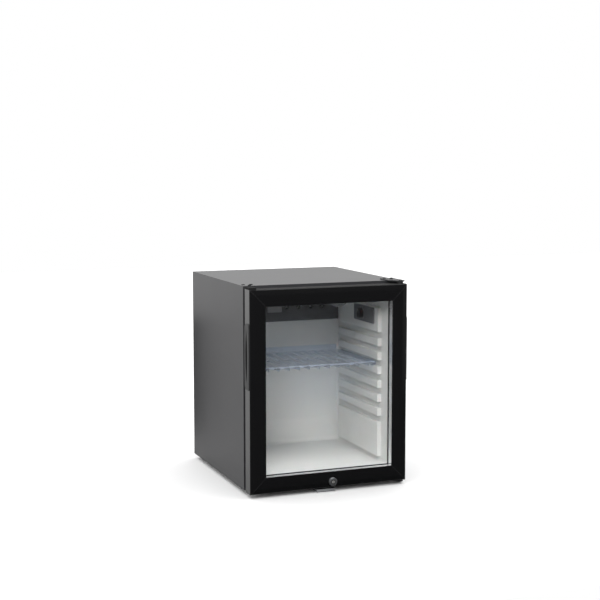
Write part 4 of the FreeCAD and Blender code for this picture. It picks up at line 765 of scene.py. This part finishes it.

# %% [markdown]
# ## Floor and surround
#
# The photograph is a cut-out on white. A white floor keeps the soft shadow that sets the fridge down, and
# the sky of the scene is white for the camera. Soft light comes more from overhead than from the sides, as
# under a studio ceiling. A gloss black door mirrors whatever stands in front of it, which was a dark
# studio, while the side and the top mirror the bright sweep behind the fridge. So for mirror rays the
# surround is bright at the back, dark in front and dimmer overhead, by the direction of the ray in the
# room, and the floor in front of the door is dark for them too. Close beside the fridge the floor is a
# little lighter for mirror rays, a painted light that lifts the fridge's shadow where the side mirrors it.
# A ray that only went through glass sees what the camera would see. One that a pane has turned back
# on its way counts as a mirror ray, or a white veil would lie over the inside.

# %% Ray switches
def ray_switches(tree):
    """1 for a ray that sees the thing itself, straight or only through glass, and 1 for a mirror ray."""
    path = add(tree, "LightPath")
    unturned = add(tree, "Math", {"operation": "LESS_THAN"}, {0: path.outputs["Glossy Depth"], 1: 0.5})
    through = add(tree, "Math", {"operation": "MULTIPLY"},
                  {0: path.outputs["Is Transmission Ray"], 1: unturned.outputs[0]})
    seen = add(tree, "Math", {"operation": "MAXIMUM"},
               {0: path.outputs["Is Camera Ray"], 1: through.outputs[0]})
    return seen.outputs[0], path.outputs["Is Glossy Ray"]


print("the floor, the surround and the rays share two switches: seen and mirrored")

# %% [markdown]
# ## Floor
#
# The floor is matt white paint, and any gloss on it would mirror the fridge. Its tone for mirror rays
# depends on how far back the ray lands. It begins a metre in front of the fridge, where the dark studio is.

# %% White floor
def stage_sheet(name, corners, material):
    """One flat face that stands in the studio and is no part of the fridge."""
    mesh = bpy.data.meshes.new(name)
    mesh.from_pydata(corners, [], [(0, 1, 2, 3)])
    mesh.materials.append(material)
    sheet = bpy.data.objects.new(name, mesh)
    bpy.context.scene.collection.objects.link(sheet)
    return sheet


floor_paint, tree, shader, at = finish("white_floor_sweep", "#fbfbfb", 0.9, Specular_IOR_Level=0.1)
speck = add(tree, "TexNoise", {}, {"Vector": at, "Scale": cells_per_metre(3.0), "Detail": 1.0})
matt = add(tree, "MapRange", {}, {"Value": speck.outputs["Fac"], "To Min": 0.85, "To Max": 0.95})
feed(shader, Roughness=matt.outputs["Result"])
seen, mirror_ray = ray_switches(tree)
split = add(tree, "SeparateXYZ", {}, {0: at})
door_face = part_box("door_rail_top")[0].y
in_front = add(tree, "Math", {"operation": "LESS_THAN"}, {0: split.outputs["Y"], 1: door_face})
behind_tone = add(tree, "MapRange", {"interpolation_type": "SMOOTHSTEP"},
                  {"Value": split.outputs["Y"], "From Min": 1.6, "From Max": 4.4,
                   "To Min": 0.52, "To Max": 0.68})
# Painted light: lighter close beside the fridge for mirror rays, lifting the fridge's shadow where the side
# mirrors it
painted_lift_beside_tone = add(tree, "MapRange", {"interpolation_type": "SMOOTHSTEP"},
                  {"Value": split.outputs["Y"], "From Min": 0.0, "From Max": 0.4,
                   "To Min": 0.14, "To Max": 0.0})
sweep_tone = add(tree, "Math", {}, {0: behind_tone.outputs["Result"], 1: painted_lift_beside_tone.outputs["Result"]})
dark_front, soft_tone, seen_white = 0.02, 0.35, 0.965
mirror_tone = add(tree, "Mix", {}, {0: in_front.outputs[0], 2: sweep_tone.outputs[0], 3: dark_front})
unseen_tone = add(tree, "Mix", {}, {0: mirror_ray, 2: soft_tone, 3: mirror_tone.outputs[0]})
floor_tone = add(tree, "Mix", {}, {0: seen, 2: unseen_tone.outputs[0], 3: seen_white})
feed(shader, Base_Color=floor_tone.outputs[0])
front, back, side = -1.05, 6.0, 6.0
floor = stage_sheet("floor", [(-side, front, 0), (side, front, 0), (side, back, 0), (-side, back, 0)],
                    floor_paint)
print("floor:", 2 * side, "by", back - front, "m, dark in mirrors before y =", round(door_face / MM, 1), "mm")

# %% [markdown]
# ## Studio surround
#
# The surround is the light from everywhere. The ray's own direction says what it meets: y runs from the dark
# front to the bright back, and z from the floor's level to overhead.

# %% Surround by direction
surround = bpy.data.worlds.new("studio_surround")
surround.use_nodes = True
tree = surround.node_tree
tree.nodes.clear()
seen, mirror_ray = ray_switches(tree)
way = add(tree, "SeparateXYZ", {}, {0: add(tree, "TexCoord").outputs["Generated"]})
depth_share = add(tree, "MapRange", {"interpolation_type": "SMOOTHSTEP"},
                  {"Value": way.outputs["Y"], "From Min": -0.7, "From Max": -0.1,
                   "To Min": 0.04, "To Max": 1.12})
height_share = add(tree, "MapRange", {"interpolation_type": "SMOOTHSTEP"},
                   {"Value": way.outputs["Z"], "From Min": 0.3, "From Max": 0.7,
                    "To Min": 1.0, "To Max": 0.12})
mirrored = add(tree, "Math", {"operation": "MULTIPLY"},
               {0: depth_share.outputs["Result"], 1: height_share.outputs["Result"]})
overhead = add(tree, "MapRange", {"interpolation_type": "SMOOTHSTEP"},
               {"Value": way.outputs["Z"], "From Min": 0.0, "From Max": 0.6,
                "To Min": 0.6, "To Max": 1.6})
soft_or_mirror = add(tree, "Mix", {},
                     {0: mirror_ray, 2: overhead.outputs["Result"], 3: mirrored.outputs[0]})
strength = add(tree, "Mix", {}, {0: seen, 2: soft_or_mirror.outputs[0], 3: 1.0})
back_light = add(tree, "Background", {}, {"Color": linear("#ffffff"), "Strength": strength.outputs[0]})
add(tree, "OutputWorld", {}, {"Surface": back_light.outputs[0]})
bpy.context.scene.world = surround
print("surround:", surround.name, "with", len(tree.nodes), "nodes")

# %% [markdown]
# ## Dark card for the left side
#
# The left side of the fridge is a satin mirror that fades from light at the door to dark at the lower back,
# and is even again near the top. A photographer gets such a fade with a dark card that stands beyond the
# back corner on the floor: the further back a point of the side lies, the more of the card it mirrors. Only
# mirror rays see this one, so it draws no shadow and never stands in a picture.

# %% Dark card
card_cloth, tree, shader, at = finish("black_flock_cloth", "#0c0c0c", 0.9, Specular_IOR_Level=0.1)
nap = add(tree, "TexNoise", {}, {"Vector": at, "Scale": cells_per_metre(2.0), "Detail": 2.0})
matt = add(tree, "MapRange", {}, {"Value": nap.outputs["Fac"], "To Min": 0.85, "To Max": 0.95})
feed(shader, Roughness=matt.outputs["Result"])
# In metres, as the lamps' places and the camera's are
card_x, card_front, card_back, card_height = -0.30, 0.42, 1.30, 0.35
card = stage_sheet("dark_card", [(card_x, card_front, 0), (card_x, card_back, 0),
                                 (card_x, card_back, card_height), (card_x, card_front, card_height)],
                   card_cloth)
for kind in ("camera", "diffuse", "transmission", "volume_scatter", "shadow"):
    setattr(card, "visible_" + kind, False)
print("dark card:", round((card_back - card_front) / MM), "by", round(card_height / MM), "mm")

# %% [markdown]
# ## Lamps
#
# One large soft lamp hangs steeply over the front. It reaches through the glass and lights the liner's
# floor behind the lip most of all. A second one stands lower, to the left of the camera: it lights the
# right inner wall, draws a thin line of shade under each rack, and leaves the covers near the ceiling in
# the shade of the top rail. The floor under the fridge is kept out of both by light linking, so that the
# white there still shows the soft shadow that the surround alone draws where the fridge stands.

# %% Soft lamps
def soft_lamp(name, place, target, size, watts):
    """A square lamp turned to face a point."""
    lamp = bpy.data.lights.new(name, "AREA")
    lamp.size = size
    lamp.energy = watts
    lamp_object = bpy.data.objects.new(name, lamp)
    aim = Vector(target) - Vector(place)
    lamp_object.matrix_world = Matrix.Translation(place) @ aim.to_track_quat("-Z", "Y").to_matrix().to_4x4()
    bpy.context.scene.collection.objects.link(lamp_object)
    return lamp_object


key_lamp = soft_lamp("key_lamp", place=(-0.1, -1.35, 2.4), target=(0.0, -0.1, 0.1), size=0.9, watts=46.0)
side_lamp = soft_lamp("side_lamp", place=(-1.2, -2.2, 1.5), target=(0.18, -0.1, 0.25), size=0.6, watts=34.0)
unlit = bpy.data.collections.new("not_lit_by_lamps")
unlit.objects.link(floor)
unlit.collection_objects[0].light_linking.link_state = "EXCLUDE"
for lamp_object in (key_lamp, side_lamp):
    lamp_object.light_linking.receiver_collection = unlit
    print(lamp_object.name, "gives", lamp_object.data.energy, "W and leaves out", floor.name)

# %% [markdown]
# ## Camera
#
# The photograph was taken with a long lens from the front left, a little above the fridge. The place and
# the lens were solved from the corners of the body, whose width, height and depth are known.

# %% Camera and view
camera = bpy.data.cameras.new("photo_camera")
camera.lens = 76.17
camera.sensor_width = 36.0
camera_object = bpy.data.objects.new("photo_camera", camera)
camera_object.location = (-1.1845, -3.04275, 0.821)
tilt_down, turn_right = 6.47, 21.45
camera_object.rotation_euler = (math.radians(90 - tilt_down), 0.0, math.radians(-turn_right))
bpy.context.scene.collection.objects.link(camera_object)
bpy.context.scene.camera = camera_object
bpy.context.scene.view_settings.view_transform = "Standard"
print("camera:", round(camera.lens, 2), "mm lens,", round(camera_object.location.length, 2),
      "m from the fridge's foot")

# %% [markdown]
# ## Update
#
# The last cell brings the scene's objects up to date.

# %% Update the scene
bpy.context.view_layer.update()
